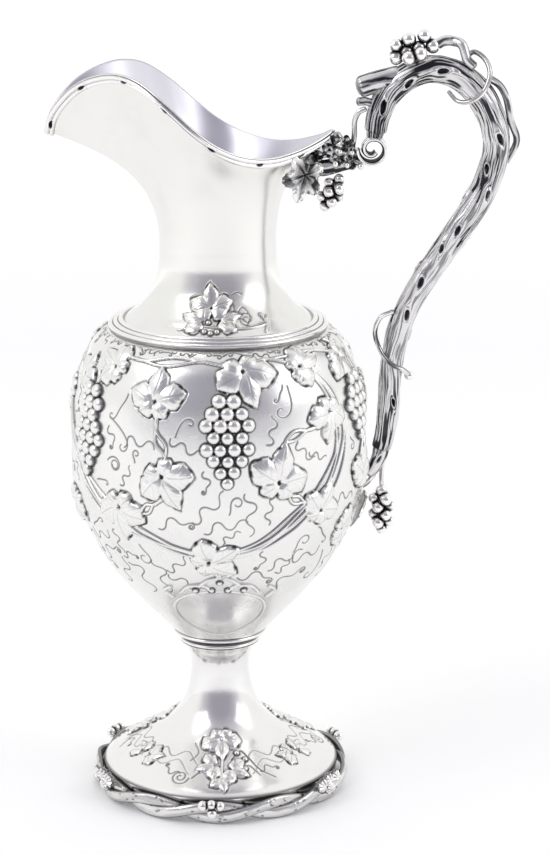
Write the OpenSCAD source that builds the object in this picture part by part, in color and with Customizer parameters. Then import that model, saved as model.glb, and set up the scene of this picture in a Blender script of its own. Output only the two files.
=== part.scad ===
// A presentation ewer in raised and cast silver with a grapevine handle.
// The origin is on the axis of the vessel, on the table, and +Z is up.
// The spout points to -X and the handle to +X. All lengths are in millimetres.

/* [Silver sheet and seats] */
// Thickness of the raised and spun sheet
wall = 1; // [0.7:0.1:1.4]
// Clearance left where curved pieces seat on each other
seat_gap = 0.3; // [0.2:0.05:0.4]

/* [Pedestal foot] */
// Outer radius of the skirt behind the vine border
foot_r = 62.2; // [56:0.1:68]
// Height of the skirt's upper edge, where the dome starts
skirt_h = 12; // [11.5:0.1:15]
// Radial width of the flat ring that the ewer stands on
base_ring_w = 5.5; // [3:0.1:9]
// Height of the flat ring that the ewer stands on
base_ring_h = 2.4; // [1.5:0.1:3.5]
// Radius of the stem at its waist
waist_r = 15.4; // [12:0.1:19]
// Height of the waist above the table
waist_h = 65; // [50:0.5:72]
// Radius of the stem where it meets the collar
stem_top_r = 21; // [20:0.1:24]
// Height of the flare from the waist up to the collar
stem_flare_h = 13.5; // [9:0.5:20]

/* [Vine border of the foot] */
// Half thickness of a vine strand, measured outwards
strand_half_w = 1.4; // [1:0.1:1.5]
// Half height of a vine strand
strand_half_h = 2.7; // [2:0.1:2.8]
// How far the strands weave in and out
weave_r = 1.5; // [1.45:0.05:2]
// How far the strands weave up and down
weave_h = 2.9; // [2.8:0.05:3.1]
// Radius of a grape of the border
foot_grape_r = 2.4; // [1.8:0.1:2.8]

/* [Collar between stem and body] */
// Height of the collar
collar_h = 7; // [5:0.1:9]
// Outer radius of the collar at its top
collar_r = 24.9; // [24.6:0.1:28]

/* [Body] */
// Radius of the plain body at its widest
body_r = 77.9; // [72:0.1:82]
// Radius of the body's flat underside on the collar
body_foot_r = 24.5; // [22:0.1:24.6]
// Height of the body from the collar to its upper edge
body_h = 164.7; // [150:0.5:180]
// Outer radius of the body's upper edge, where the neck joins
throat_r = 50.5; // [47:0.1:54]

/* [Chased vine on the body] */
// How far the chased ground lies below the plain body
ground_depth = 1.5; // [0.8:0.1:2]
// Radius of a vine leaf
vine_leaf_r = 13; // [10:0.5:15]
// Height of a leaf over the ground
leaf_rise = 2.4; // [1.5:0.1:3]
// Height of a bunch of grapes over the ground
bunch_rise = 3; // [2:0.1:3.5]
// Height of the bare oval over the plain body
oval_rise = 1.2; // [0.6:0.1:2]

/* [Shoulder ring] */
// Radius of one of the ring's three reeds
reed_r = 1.25; // [1:0.05:1.35]
// Distance between the reeds
reed_pitch = 2.9; // [2.7:0.05:3.2]

/* [Neck and spout] */
// Radius of the neck at its narrowest
neck_r = 29.7; // [26:0.1:34]
// Height of the neck from the body's edge to its narrowest place
neck_h = 40.7; // [34:0.1:46]
// How far the spout's tip reaches in front of the axis
spout_reach = 86.9; // [75:0.1:95]
// How far the mouth reaches behind the axis
mouth_back = 59; // [54:0.1:64]
// Width of the mouth at its widest
mouth_w = 100; // [88:0.5:112]
// Rise from the neck's narrowest place to the lowest place of the lip
lip_rise = 48.6; // [44:0.1:56]
// Rise from the lip's lowest place to the crest of the spout
crest_rise = 41.5; // [34:0.1:48]

/* [Lip moulding] */
// Height of the moulding along the wall of the lip
lip_band_h = 5; // [3.5:0.1:6]
// Thickness of the moulding
lip_band_w = 1.5; // [1:0.1:2]

/* [Handle branch] */
// Largest radius of the branch, at the top of the arch
handle_r = 7.2; // [6:0.1:8]
// Reach of the branch's centre line outwards from its heel
handle_reach = 56.9; // [52:0.1:62]
// Rise of the arch's centre line above the lip's lowest place
arch_rise = 40.3; // [36:0.1:48]
// Height of the arch above the branch's outermost place
arch_h = 39.8; // [34:0.1:46]
// Distance from the back of the mouth to the end of the branch's centre line
bracket_run = 20.8; // [17:0.1:26]
// Height of the heel's cut end above the collar
heel_rise = 96.2; // [90:0.1:102]
// Clear space between the body and the branch at the heel
heel_space = 1.3; // [0.8:0.1:4]
// Outer radius of the scroll that ends the branch
scroll_r = 8.2; // [7:0.1:9]
// Width of the scroll across the handle
scroll_w = 11; // [8:0.5:13]

/* [Handle ornament] */
// Radius of a grape of the cluster on the arch
top_grape_r = 3.8; // [3.7:0.05:4]
// Radius of the upper tendril's wire
tendril_r = 1.4; // [0.9:0.05:1.5]
// Radius of the lower tendril's wire
wire_r = 1.2; // [0.8:0.05:1.3]
// Radius of the cut branch's stump
stump_r = 4.4; // [3.5:0.1:5]
// Radius of the side twig
twig_r = 2; // [1.5:0.1:2.4]

/* [Bracket and heel ornament] */
// Radius of the short branch between neck and scroll
bracket_r = 3.6; // [3:0.1:4.2]
// Radius of a bracket leaf
bracket_leaf_r = 14; // [12:0.5:15]
// Thickness of a cast leaf
cast_leaf_w = 1.4; // [1:0.1:1.8]
// Radius of a grape of the bracket's cluster
bracket_grape_r = 3; // [2.5:0.1:3.2]
// Radius of a grape of the drop cluster under the heel
drop_grape_r = 3.2; // [2.8:0.05:3.4]
// Length of the leaf under the heel
heel_leaf_len = 24; // [18:0.5:28]

/* [Hidden] */
$fn = 72;
silver = "silver";
bright = "gainsboro";
oxidised = "dimgray";
grape_silver = "whitesmoke";

// Heights that follow from the stack of pieces
stem_h = waist_h + stem_flare_h;
body_z = stem_h + collar_h;
throat_z = body_z + body_h;
neck_z = throat_z + neck_h;
lip_low_z = neck_z + lip_rise;
heel_z = body_z + heel_rise;

// Shares of the foot's run and rise, from the skirt's edge to the waist
foot_shares = [[1, 0], [0.916, 0.057], [0.744, 0.14], [0.53, 0.245],
    [0.314, 0.368], [0.142, 0.53], [0.045, 0.717], [0.004, 0.91], [0, 1]];
// Shares of the run and rise from the waist to the stem's top
stem_shares = [[0.15, 0.37], [0.5, 0.72], [1, 1]];
// Place of the shoulder ring between the body's last bend and its upper edge
ring_share = 0.68;
// Shares of the body's radius and height, between its foot and its upper edge
body_shares = [[0.411, 0.049], [0.517, 0.102], [0.643, 0.171], [0.754, 0.237],
    [0.881, 0.333], [0.963, 0.424], [0.994, 0.501], [1, 0.586], [0.995, 0.683],
    [0.974, 0.774], [0.937, 0.853], [0.866, 0.926], [0.764, 0.973]];
// Shares of the neck's flare and height, from the body's edge to the neck
neck_shares = [[1, 0], [0.735, 0.128], [0.495, 0.224], [0.173, 0.45],
    [0.024, 0.732], [0, 1]];
// Shares of the mouth's length from the back, of its half width and of the crest
rim_shares = [[0, 0, 0.229], [0.048, 0.15, 0.133], [0.13, 0.36, 0.036],
    [0.219, 0.6, 0], [0.315, 0.82, 0.06], [0.404, 0.95, 0.205],
    [0.487, 1, 0.422], [0.576, 0.94, 0.7], [0.665, 0.76, 0.928],
    [0.747, 0.55, 1], [0.829, 0.37, 0.94], [0.898, 0.25, 0.807],
    [0.952, 0.16, 0.614], [0.986, 0.08, 0.422], [1, 0, 0.229]];
rim_last = len(rim_shares) - 1;
// How steeply the wall leaves the neck, and how it flares at the lip
lift_share = 1.1;
flare_share = 1.6;
steep_share = 0.9;
tip_steep_share = 0.55;
mouth_len = mouth_back + spout_reach;
rim_steps = 2;
loft_shares = [0.1, 0.2, 0.32, 0.45, 0.58, 0.71, 0.85, 1];

// Shares of the branch's reach, of its rise and of its largest radius. From the outermost
// place on, they are measured between that place, the arch and the end above the bracket.
handle_shares = [[0, 0, 0.72], [0.042, 0.052, 0.75], [0.069, 0.118, 0.78],
    [0.079, 0.183, 0.79], [0.104, 0.259, 0.8], [0.169, 0.34, 0.83],
    [0.283, 0.415, 0.85], [0.441, 0.486, 0.88], [0.617, 0.564, 0.9],
    [0.793, 0.638, 0.93], [0.928, 0.713, 0.96], [1, 0.799, 0.96],
    [0.956, 0.875, 0.97], [0.833, 0.94, 0.985], [0.634, 0.985, 1],
    [0.397, 1, 1], [0.186, 0.979, 0.96], [0.033, 0.938, 0.89],
    [-0.053, 0.885, 0.83], [-0.081, 0.8375, 0.8]];
handle_last = len(handle_shares) - 1;
heel_r = handle_r * handle_shares[0][2];
heel_x = body_r + heel_space + heel_r;
out_index = 11;
handle_out_z = lip_low_z + arch_rise - arch_h;
handle_end_x = mouth_back + bracket_run;

function sum_of(v, i = 0) = i == len(v) - 1 ? v[i] : v[i] + sum_of(v, i + 1);
function unit(v) = v / norm(v);
function mix(a, b, t) = a * (1 - t) + b * t;

// A smooth curve through points, with its ends drawn on in a straight line
function bend(p, q, r, s, t) = (2 * q + (r - p) * t + (2 * p - 5 * q + 4 * r - s) * t * t
    + (3 * q - p - 3 * r + s) * t * t * t) / 2;
function past(points, i) = i < 0 ? 2 * points[0] - points[1]
    : i >= len(points) ? 2 * points[len(points) - 1] - points[len(points) - 2]
    : points[i];
function curve_at(points, u) = let (i = min(floor(u), len(points) - 2))
    bend(past(points, i - 1), points[i], points[i + 1], past(points, i + 2), u - i);
function curve(points, steps) = [for (k = [0 : steps * (len(points) - 1)])
    curve_at(points, k / steps)];
function ring_curve(points, steps) = let (n = len(points))
    [for (i = [0 : n - 1]) for (k = [0 : steps - 1])
        bend(points[(i + n - 1) % n], points[i], points[(i + 1) % n],
            points[(i + 2) % n], k / steps)];

// Triangles of a grid of rows, each a closed ring of the same count
function grid_faces(rows, cols, closed) = [
    for (i = [0 : rows - (closed ? 1 : 2)]) for (j = [0 : cols - 1])
        let (a = i * cols + j, b = i * cols + (j + 1) % cols,
            c = ((i + 1) % rows) * cols + j, d = ((i + 1) % rows) * cols + (j + 1) % cols)
        each [[a, b, d], [a, d, c]]];
module closed_grid(rings) {
    polyhedron([for (r = rings) each r], grid_faces(len(rings), len(rings[0]), true));
}
module capped_grid(rings) {
    rows = len(rings);
    cols = len(rings[0]);
    first = sum_of(rings[0]) / cols;
    last = sum_of(rings[rows - 1]) / cols;
    base = rows * cols;
    caps = [for (j = [0 : cols - 1]) each [
        [base, (j + 1) % cols, j],
        [base + 1, base - cols + j, base - cols + (j + 1) % cols]]];
    polyhedron([for (r = rings) each r, first, last],
        concat(grid_faces(rows, cols, false), caps));
}

// Rings of a round tube along points, with one radius for each point
function tangent(points, i) = unit(points[min(i + 1, len(points) - 1)]
    - points[max(i - 1, 0)]);
function tube_rings(points, radii, sides, across = [0, 1, 0]) = [
    for (i = [0 : len(points) - 1])
        let (t = tangent(points, i), u = unit(cross(t, across)), v = cross(u, t))
        [for (j = [0 : sides - 1]) points[i]
            + radii[i] * (cos(360 * j / sides) * u + sin(360 * j / sides) * v)]];
module tube(points, radii, sides) {
    capped_grid(tube_rings(points, radii, sides));
}
// A tube through a few chosen points, tapering between two radii
module branch(points, r_start, r_end, steps, sides) {
    path = curve(points, steps);
    last = len(path) - 1;
    tube(path, [for (i = [0 : last]) mix(r_start, r_end, i / last)], sides);
}

// Outline of a cast leaf: the share of its radius at an angle from its tip
lobe_step = 62;
lobe_share = 0.36;
notch_share = 0.42;
notch_from = 152;
taper_share = 0.2;
function leaf_edge(a) = let (b = abs(a))
    b > notch_from ? notch_share
    : (1 - lobe_share + lobe_share * abs(cos(180 * b / lobe_step)))
        * (1 - taper_share * b / 180);
leaf_sides = 30;
leaf_angles = [for (k = [0 : leaf_sides - 1]) 360 * k / leaf_sides - 180];
// A cast leaf, cupped upwards, with its tip along +X and its back at z = 0
module cast_leaf(r, thick, cup_share) {
    mid_share = 0.55;
    ring = function (s, lift) [for (a = leaf_angles)
        let (e = leaf_edge(a) * r * s) [e * cos(a), e * sin(a), lift + cup_share * r * s * s]];
    n = leaf_sides;
    under = [[0, 0, 0]];
    over = [[0, 0, thick]];
    points = concat(under, ring(mid_share, 0), ring(1, 0), ring(1, thick),
        ring(mid_share, thick), over);
    top = 4 * n + 1;
    faces = [for (j = [0 : n - 1]) let (k = (j + 1) % n) each [
        [0, 1 + j, 1 + k],
        [1 + j, 1 + n + j, 1 + n + k], [1 + j, 1 + n + k, 1 + k],
        [1 + n + j, 1 + 2 * n + j, 1 + 2 * n + k], [1 + n + j, 1 + 2 * n + k, 1 + n + k],
        [1 + 2 * n + j, 1 + 3 * n + j, 1 + 3 * n + k],
        [1 + 2 * n + j, 1 + 3 * n + k, 1 + 2 * n + k],
        [1 + 3 * n + j, top, 1 + 3 * n + k]]];
    polyhedron(points, faces);
}

// Outlines of the spun and raised pieces, as [radius, height] points
foot_line = concat(
    curve([for (s = foot_shares) [mix(waist_r, foot_r, s[0]),
        mix(skirt_h, waist_h, s[1])]], 2),
    [for (s = stem_shares) [mix(waist_r, stem_top_r, s[0]), mix(waist_h, stem_h, s[1])]]);
body_points = concat([[body_foot_r, body_z]],
    [for (s = body_shares) [s[0] * body_r, body_z + s[1] * body_h]], [[throat_r, throat_z]]);
body_line = curve(body_points, 2);
function line_normal(line, i) = let (t = tangent(line, i)) [t[1], -t[0]];
function shifted(line, d) = [for (i = [0 : len(line) - 1]) line[i] + d * line_normal(line, i)];
function radius_at(line, z, i = 0) = i >= len(line) - 2 || line[i + 1][1] > z
    ? mix(line[i][0], line[i + 1][0], (z - line[i][1]) / (line[i + 1][1] - line[i][1]))
    : radius_at(line, z, i + 1);
// The whole body as a solid, grown outwards by a distance
module body_solid(grow) {
    line = shifted(body_line, grow);
    rotate_extrude() polygon(concat([[0, body_z]], [[body_foot_r + grow, body_z]],
        [for (p = line) if (p[1] > body_z && p[1] < throat_z) p],
        [[throat_r, throat_z + grow], [0, throat_z + grow]]));
}

module base_ring() {
    color(silver) rotate_extrude()
        translate([foot_r - base_ring_w, 0]) square([base_ring_w, base_ring_h]);
}
module pedestal_foot() {
    outer = concat([[foot_r, base_ring_h]], foot_line);
    inner = [for (p = shifted(foot_line, -wall)) if (p[1] < stem_h - wall) p];
    color(bright) rotate_extrude() polygon(concat(outer,
        [[stem_top_r - wall, stem_h]],
        [for (i = [len(inner) - 1 : -1 : 1]) inner[i]],
        [[foot_r - wall, skirt_h - wall], [foot_r - wall, base_ring_h]]));
}

// Two vine strands twist round each other along the skirt, and grapes sit in the eyes
border_turns = 6;
border_step = 360 / border_turns;
first_cluster = -94;
strand_rings = 90;
strand_sides = 6;
border_low = 0.25 * base_ring_h;
strand_line_r = foot_r + seat_gap + strand_half_w + weave_r;
strand_line_z = border_low + strand_half_h + weave_h;
module foot_vine(phase) {
    rings = [for (i = [0 : strand_rings - 1])
        let (a = 360 * i / strand_rings,
            w = border_turns * (a - first_cluster) + phase,
            c = [strand_line_r - weave_r * sin(w), strand_line_z + weave_h * cos(w)])
        [for (j = [0 : strand_sides - 1]) let (b = 360 * j / strand_sides,
            r = c[0] + strand_half_w * cos(b), z = c[1] + strand_half_h * sin(b))
            [r * cos(a), r * sin(a), z]]];
    color(silver) closed_grid(rings);
}
foot_grape_pitch = 1.86 * foot_grape_r;
module foot_grapes(k) {
    out = foot_r + seat_gap + 2 * strand_half_w + weave_r + seat_gap + foot_grape_r;
    row_z = strand_line_z + weave_h + 1.2 * strand_half_h;
    color(grape_silver) rotate(first_cluster + (k - 1) * border_step)
        translate([out, 0, row_z]) {
            for (s = [-1, 0, 1]) translate([0, s * foot_grape_pitch, 0])
                sphere(foot_grape_r);
            translate([0, 0, -0.87 * foot_grape_pitch]) sphere(foot_grape_r);
        }
}

module stem_collar() {
    reed = collar_h / 4;
    bore = stem_top_r - 3 * wall;
    color(silver) rotate_extrude() {
        polygon([[bore, stem_h], [stem_top_r, stem_h], [collar_r - reed, body_z - reed],
            [collar_r - reed, body_z], [bore, body_z]]);
        translate([collar_r - reed, body_z - reed]) circle(reed);
        translate([stem_top_r - reed / 2, stem_h + reed]) circle(reed);
    }
}

// Leaves of the vine, repeated on the far side: degrees from the front towards the handle,
// share of the body's height, share of the leaf's radius
vine_leaves = [[9.5, 0.926, 1.12], [-25.5, 0.871, 1.05], [-20, 0.598, 1.1],
    [-40.5, 0.477, 1.08], [-2.5, 0.355, 1.02], [23.5, 0.628, 1.15], [43, 0.525, 0.9],
    [45, 0.768, 0.95], [36, 0.938, 0.85], [-52, 0.932, 0.88], [66, 0.914, 0.92],
    [-76, 0.44, 0.9], [70, 0.574, 0.95], [62, 0.392, 0.85], [-70, 0.89, 0.85]];
// Bunches in the same way, with half their width and half their height for the share
vine_bunches = [[3.2, 0.747, 1.1, 1.65], [-58, 0.71, 0.8, 1.85], [69, 0.786, 0.88, 1.45]];
// The bare oval over the body's foot, and the smooth place that the heel is seated on
oval = [0, 0.131, 1.85, 1.25];
heel_place = [90, 0.42, 1.9, 2.6];
vine_cols = 80;
vine_rows = curve(body_points, 3);
function ease(t) = let (c = max(0, min(1, t))) c * c * (3 - 2 * c);
function ground_share(h) = ease((h - 0.2) / 0.19) * ease((0.98 - h) / 0.09);
function edge_share(h) = ease(h / 0.06) * ease((0.98 - h) / 0.05);
function degrees_off(a, b) = (a - b + 720) % 360 - 180;
// How far in a form of the vine a place is: over its edge 0, on its flat top 1
function form_share(f, wide, high, turn, az, h, r) = let (
    u = r * degrees_off(az, f[0] + turn - 180) * PI / 180 / wide, v = (h - f[1]) * body_h / high)
    min(1, 2.4 * max(0, 1 - norm([u, v]) / vine_leaf_r));
function vine_height(az, h, r) = let (forms = [for (turn = [0, 180]) each concat(
        [oval_rise * form_share(oval, oval[2], oval[3], turn, az, h, r)],
        [for (f = vine_leaves) leaf_rise * form_share(f, f[2], f[2], turn, az, h, r)],
        [for (f = vine_bunches) bunch_rise * form_share(f, f[2], f[3], turn, az, h, r)])])
    mix(max(forms), ground_depth * ground_share(h),
        form_share(heel_place, heel_place[2], heel_place[3], 0, az, h, r));
function body_ring(line, k, inside) = let (p = line[k], n = line_normal(line, k),
    h = (p[1] - body_z) / body_h, ground = ground_depth * ground_share(h))
    [for (j = [0 : vine_cols - 1]) let (a = -360 * j / vine_cols,
        rise = inside ? -wall : edge_share(h) * vine_height(a + 90, h, p[0]),
        q = p + (rise - ground) * n) [q[0] * cos(a), q[0] * sin(a), q[1]]];
function plain_ring(r, z) = [for (j = [0 : vine_cols - 1]) let (a = -360 * j / vine_cols)
    [r * cos(a), r * sin(a), z]];
module body() {
    last = len(body_points) - 1;
    color(bright) capped_grid(concat(
        [for (k = [0 : len(vine_rows) - 1]) body_ring(vine_rows, k, false)],
        [plain_ring(throat_r - wall, throat_z)],
        [for (k = [last - 1 : -1 : 1]) body_ring(body_points, k, true)],
        [plain_ring(body_foot_r - wall, body_z + wall)]));
}

// The neck's flare and the spout's wall, as rings of points from below to the lip
neck_line = curve([for (s = neck_shares) [mix(neck_r, throat_r, s[0]),
    throat_z + s[1] * neck_h]], 2);
rim_half = [for (s = rim_shares) [mouth_back - s[0] * mouth_len, s[1] * mouth_w / 2,
    lip_low_z + s[2] * crest_rise]];
rim = ring_curve(concat(rim_half,
    [for (i = [rim_last - 1 : -1 : 1]) [rim_half[i][0], -rim_half[i][1], rim_half[i][2]]]),
    rim_steps);
rim_n = len(rim);
function rim_angle(i) = atan2(rim[i % rim_n][1], rim[i % rim_n][0]);
function spout_point(i, s) = let (p = rim[(i + rim_n) % rim_n], a = rim_angle(i + rim_n),
    q = [neck_r * cos(a), neck_r * sin(a), neck_z], d = p - q,
    tip = pow(max(0, -cos(a)), 12),
    start = [0, 0, lift_share * 2 * lip_rise],
    end = [flare_share * d[0], flare_share * d[1],
        mix(steep_share, tip_steep_share, tip) * d[2]],
    s2 = s * s, s3 = s2 * s)
    (2 * s3 - 3 * s2 + 1) * q + (s3 - 2 * s2 + s) * start
        + (3 * s2 - 2 * s3) * p + (s3 - s2) * end;
function neck_ring(k) = [for (i = [0 : rim_n - 1]) let (a = rim_angle(i))
    [neck_line[k][0] * cos(a), neck_line[k][0] * sin(a), neck_line[k][1]]];
outer_rings = concat([for (k = [0 : len(neck_line) - 1]) neck_ring(k)],
    [for (s = loft_shares) [for (i = [0 : rim_n - 1]) spout_point(i, s)]]);
// The outward normal of the wall at a point of the rings
function wall_normal(k, i) = let (n = len(outer_rings),
    along = outer_rings[min(k + 1, n - 1)][i] - outer_rings[max(k - 1, 0)][i],
    round_it = outer_rings[k][(i + 1) % rim_n] - outer_rings[k][(i + rim_n - 1) % rim_n])
    unit(cross(round_it, along));
inner_rings = [for (k = [0 : len(outer_rings) - 1]) [for (i = [0 : rim_n - 1])
    let (n = wall_normal(k, i), p = outer_rings[k][i] - wall * n)
    k == 0 ? let (a = rim_angle(i), r = throat_r - wall)
        [r * cos(a), r * sin(a), throat_z] : p]];
module neck_and_spout() {
    last = len(outer_rings) - 1;
    color(bright) closed_grid(concat(inner_rings,
        [for (k = [last : -1 : 0]) outer_rings[k]]));
}

// The back of the flare over the neck as a solid wedge, grown outwards by a distance
wedge_cols = 8;
module neck_wedge(grow) {
    top = len(outer_rings) - 1;
    capped_grid([for (k = [top : -1 : len(neck_line) - 1]) concat(
        [for (i = [-wedge_cols : wedge_cols]) let (j = (i + rim_n) % rim_n)
            outer_rings[k][j] + grow * wall_normal(k, j)],
        [[0, 0, outer_rings[k][0][2]]])]);
}

// The moulding lies on the outside of the lip, its top level with the edge
function lip_section(i) = let (last = len(outer_rings) - 1, n = wall_normal(last, i),
    p = outer_rings[last][i], down = unit(spout_point(i, 1) - spout_point(i, 0.97)),
    a = p + seat_gap * n, low = a - lip_band_h * down, out = lip_band_w * n)
    [a, low, low + out / 2, low + out + lip_band_h * down / 6,
        low + out / 2 + lip_band_h * down / 2, a + out - lip_band_h * down / 6, a + out / 2];
module lip_moulding() {
    color(silver) closed_grid([for (i = [0 : rim_n - 1]) lip_section(i)]);
}

module shoulder_ring() {
    n = len(body_line);
    low = body_line[n - 2];
    d = unit(body_line[n - 1] - low);
    c = mix(low, body_line[n - 1], ring_share) + (reed_r + seat_gap) * [d[1], -d[0]];
    color(silver) difference() {
        rotate_extrude() {
            for (k = [-1, 0, 1]) translate(c + k * reed_pitch * d) circle(reed_r);
            polygon([c - reed_pitch * d, c + reed_pitch * d,
                c + reed_pitch * d - [0, reed_r], c - reed_pitch * d - [0, reed_r]]);
        }
        body_solid(seat_gap);
        rotate_extrude() polygon(concat(shifted(neck_line, seat_gap),
            [[0, neck_z], [0, throat_z]]));
    }
}

// The handle's centre line and its frame
function handle_x(a) = let (end = handle_shares[handle_last][0])
    mix(handle_end_x, heel_x + handle_reach, (a - end) / (1 - end));
function handle_z(b) = let (out = handle_shares[out_index][1])
    b < out ? mix(heel_z, handle_out_z, b / out)
    : handle_out_z + (b - out) / (1 - out) * arch_h;
handle_points = [for (i = [0 : handle_last]) let (s = handle_shares[i])
    [i < out_index ? heel_x + s[0] * handle_reach : handle_x(s[0]), 0,
        handle_z(s[1]), s[2] * handle_r]];
function handle_at(t) = let (p = curve_at(handle_points, t * handle_last)) [p[0], p[1], p[2]];
function handle_r_at(t) = curve_at(handle_points, t * handle_last)[3];
function handle_dir(t) = unit(handle_at(min(1, t + 0.001)) - handle_at(max(0, t - 0.001)));
// A point beside the branch: 0 degrees is outwards, 90 is the near side, 180 inwards
function beside(t, angle, away) = let (d = handle_dir(t))
    handle_at(t) + away * (cos(angle) * [d[2], 0, -d[0]] + sin(angle) * [0, -1, 0]);
// The same, for a piece of radius r that rests on the bark, or is lifted off it
function on_bark(t, angle, r, lift = 0) = beside(t, angle, handle_r_at(t) + seat_gap + r + lift);
handle_rings = 58;
handle_sides = 12;
module handle_tube(from, to, grow, count) {
    ts = [for (k = [0 : count]) mix(from, to, k / count)];
    tube([for (t = ts) handle_at(t)], [for (t = ts) handle_r_at(t) + grow], handle_sides);
}
module handle_branch() {
    color(oxidised) handle_tube(0, 1, 0, handle_rings);
}

// The scroll hangs under the end of the branch: a strap curling inwards
scroll_c = handle_at(1) + (scroll_r + seat_gap) * handle_dir(1);
strap_r = 0.26 * scroll_r;
module handle_scroll() {
    turn = 500;
    steps = 36;
    rings = [for (k = [0 : steps]) let (f = k / steps, a = 180 + turn * f,
        r = mix(scroll_r - strap_r, 0.26 * scroll_r, pow(f, 1.5)),
            w = mix(scroll_w, 0.75 * scroll_w, f) / 2,
        c = scroll_c + r * [cos(a), 0, sin(a)], u = [cos(a), 0, sin(a)])
        [for (j = [0 : 7]) let (b = 45 * j)
            c + 0.8 * strap_r * cos(b) * u + w * sin(b) * [0, -1, 0]]];
    color(silver) capped_grid(rings);
}

module cut_branch() {
    r = handle_r_at(0.87);
    start = beside(0.855, 0, 0.35 * r);
    end = beside(0.91, 0, 2.15 * r);
    color(oxidised) difference() {
        branch([start, mix(start, end, 0.5) + [0, 0, 0.1 * stump_r], end],
            1.1 * stump_r, 0.8 * stump_r, 4, 10);
        handle_tube(0.8, 0.98, seat_gap, 12);
    }
}
module broken_twig() {
    r = 0.4 * stump_r;
    color(oxidised) difference() {
        branch([beside(0.93, 0, 0), beside(0.93, 4, 1.3 * handle_r_at(0.93)),
            beside(0.935, 8, 1.95 * handle_r_at(0.93))], r, r, 3, 8);
        handle_tube(0.85, 1, seat_gap, 10);
    }
}
module scroll_tendril() {
    r = 1.15 * wire_r;
    color(silver) branch([on_bark(0.945, 14, r), on_bark(0.955, 8, r, 0.35 * handle_r),
        on_bark(0.975, 4, r, 0.5 * handle_r),
        scroll_c + (scroll_r + r + 0.22 * handle_r) * [-cos(35), 0, sin(35)],
        scroll_c + (scroll_r + r + 0.08 * handle_r) * [-1, 0, 0],
        scroll_c + (scroll_r + r + seat_gap) * [-cos(10), 0, -sin(10)]], r, r, 5, 8);
}

// Grapes of the arch: place along the branch, angle round it, and layers above the bark
top_grape_places = [[0.84, 0, 0], [0.8215, 0, 0], [0.803, 0, 0], [0.7845, 0, 0],
    [0.8215, 38, 0], [0.803, 38, 0], [0.8215, -38, 0], [0.803, -38, 0],
    [0.831, 0, 0.7], [0.8125, 0, 0.7], [0.794, 0, 0.7]];
module top_grapes() {
    color(grape_silver) for (g = top_grape_places)
        translate(on_bark(g[0], g[1], top_grape_r, g[2] * 2 * top_grape_r))
            sphere(top_grape_r);
}
module top_grape_stem() {
    r = 0.66 * top_grape_r;
    color(oxidised) branch([on_bark(0.764, 0, r, 0.5 * top_grape_r),
        on_bark(0.757, 0, r, 1.6 * top_grape_r), on_bark(0.748, 12, r, 1.3 * top_grape_r),
        on_bark(0.735, 26, r, 0.1 * top_grape_r), on_bark(0.722, 34, r, -0.05 * r)],
        r, 0.8 * r, 4, 8);
}
module upper_tendril() {
    color(silver) branch([on_bark(0.735, -30, tendril_r),
        on_bark(0.729, -4, tendril_r, 0.7 * handle_r),
        on_bark(0.712, 12, tendril_r, 0.75 * handle_r),
        on_bark(0.696, 34, tendril_r, 0.45 * handle_r), on_bark(0.684, 78, tendril_r),
        on_bark(0.684, 128, tendril_r, 0.02 * handle_r),
        on_bark(0.703, 165, tendril_r, 0.3 * handle_r),
        on_bark(0.735, 180, tendril_r, 0.1 * handle_r)],
        tendril_r, 0.8 * tendril_r, 5, 8);
}
module side_twig() {
    color(oxidised) branch([on_bark(0.69, 4, twig_r), on_bark(0.672, 0, twig_r, 0.2 * handle_r),
        on_bark(0.65, 0, twig_r, 0.22 * handle_r), on_bark(0.617, 0, twig_r),
        on_bark(0.588, 0, twig_r, 0.14 * handle_r), on_bark(0.56, 0, twig_r)],
        twig_r, 0.8 * twig_r, 4, 8);
}
module lower_tendril() {
    color(silver) {
        branch([on_bark(0.278, 150, wire_r), on_bark(0.262, 165, wire_r, 0.6 * handle_r),
            on_bark(0.238, 172, wire_r, 0.6 * handle_r), on_bark(0.212, 150, wire_r, 0.1 * handle_r),
            on_bark(0.196, 98, wire_r), on_bark(0.186, 45, wire_r, 0.1 * handle_r),
            on_bark(0.178, 20, wire_r, 0.15 * handle_r)], wire_r, wire_r, 5, 8);
        translate(on_bark(0.178, 20, wire_r, 0.15 * handle_r)) sphere(2.2 * wire_r);
    }
}

// The bracket: a short branch from the wall of the neck to the scroll
bracket_k = len(outer_rings) - 3;
bracket_n = wall_normal(bracket_k, 0);
bracket_start = outer_rings[bracket_k][0] + seat_gap * bracket_n;
bracket_end = scroll_c + (scroll_r + bracket_r + seat_gap) * [-cos(38), 0, -sin(38)];
bracket_points = [bracket_start, bracket_start + 0.35 * norm(bracket_end - bracket_start) * bracket_n,
    bracket_end + 0.8 * bracket_r * [-1, 0, 0.1], bracket_end];
module bracket_tube(grow) {
    branch(bracket_points, 1.2 * bracket_r + grow, bracket_r + grow, 4, 10);
}
module bracket_branch() {
    color(oxidised) difference() {
        bracket_tube(0);
        neck_wedge(seat_gap);
    }
}
module bracket_stub() {
    foot = bracket_points[2];
    color(oxidised) difference() {
        branch([foot, foot + bracket_r * [-0.6, 0, 2.2], foot + bracket_r * [-1.7, 0, 3.9]],
            0.6 * bracket_r, 0.75 * bracket_r, 3, 8);
        bracket_tube(seat_gap);
    }
}
leaf_place = [-0.42, 0.987, -0.76];
leaf_turn = 52;
leaf_slant = 20;
leaf_cup_share = 0.02;
module bracket_leaf(side) {
    p = bracket_start + bracket_leaf_r * [leaf_place[0], side * leaf_place[1], leaf_place[2]];
    color(silver) difference() {
        translate(p) rotate([0, 0, side * leaf_turn]) rotate([0, 90, 0])
            rotate(side * leaf_slant) cast_leaf(bracket_leaf_r, cast_leaf_w, leaf_cup_share);
        neck_wedge(seat_gap);
    }
}
module bracket_leaf_near() {
    bracket_leaf(-1);
}
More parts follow.
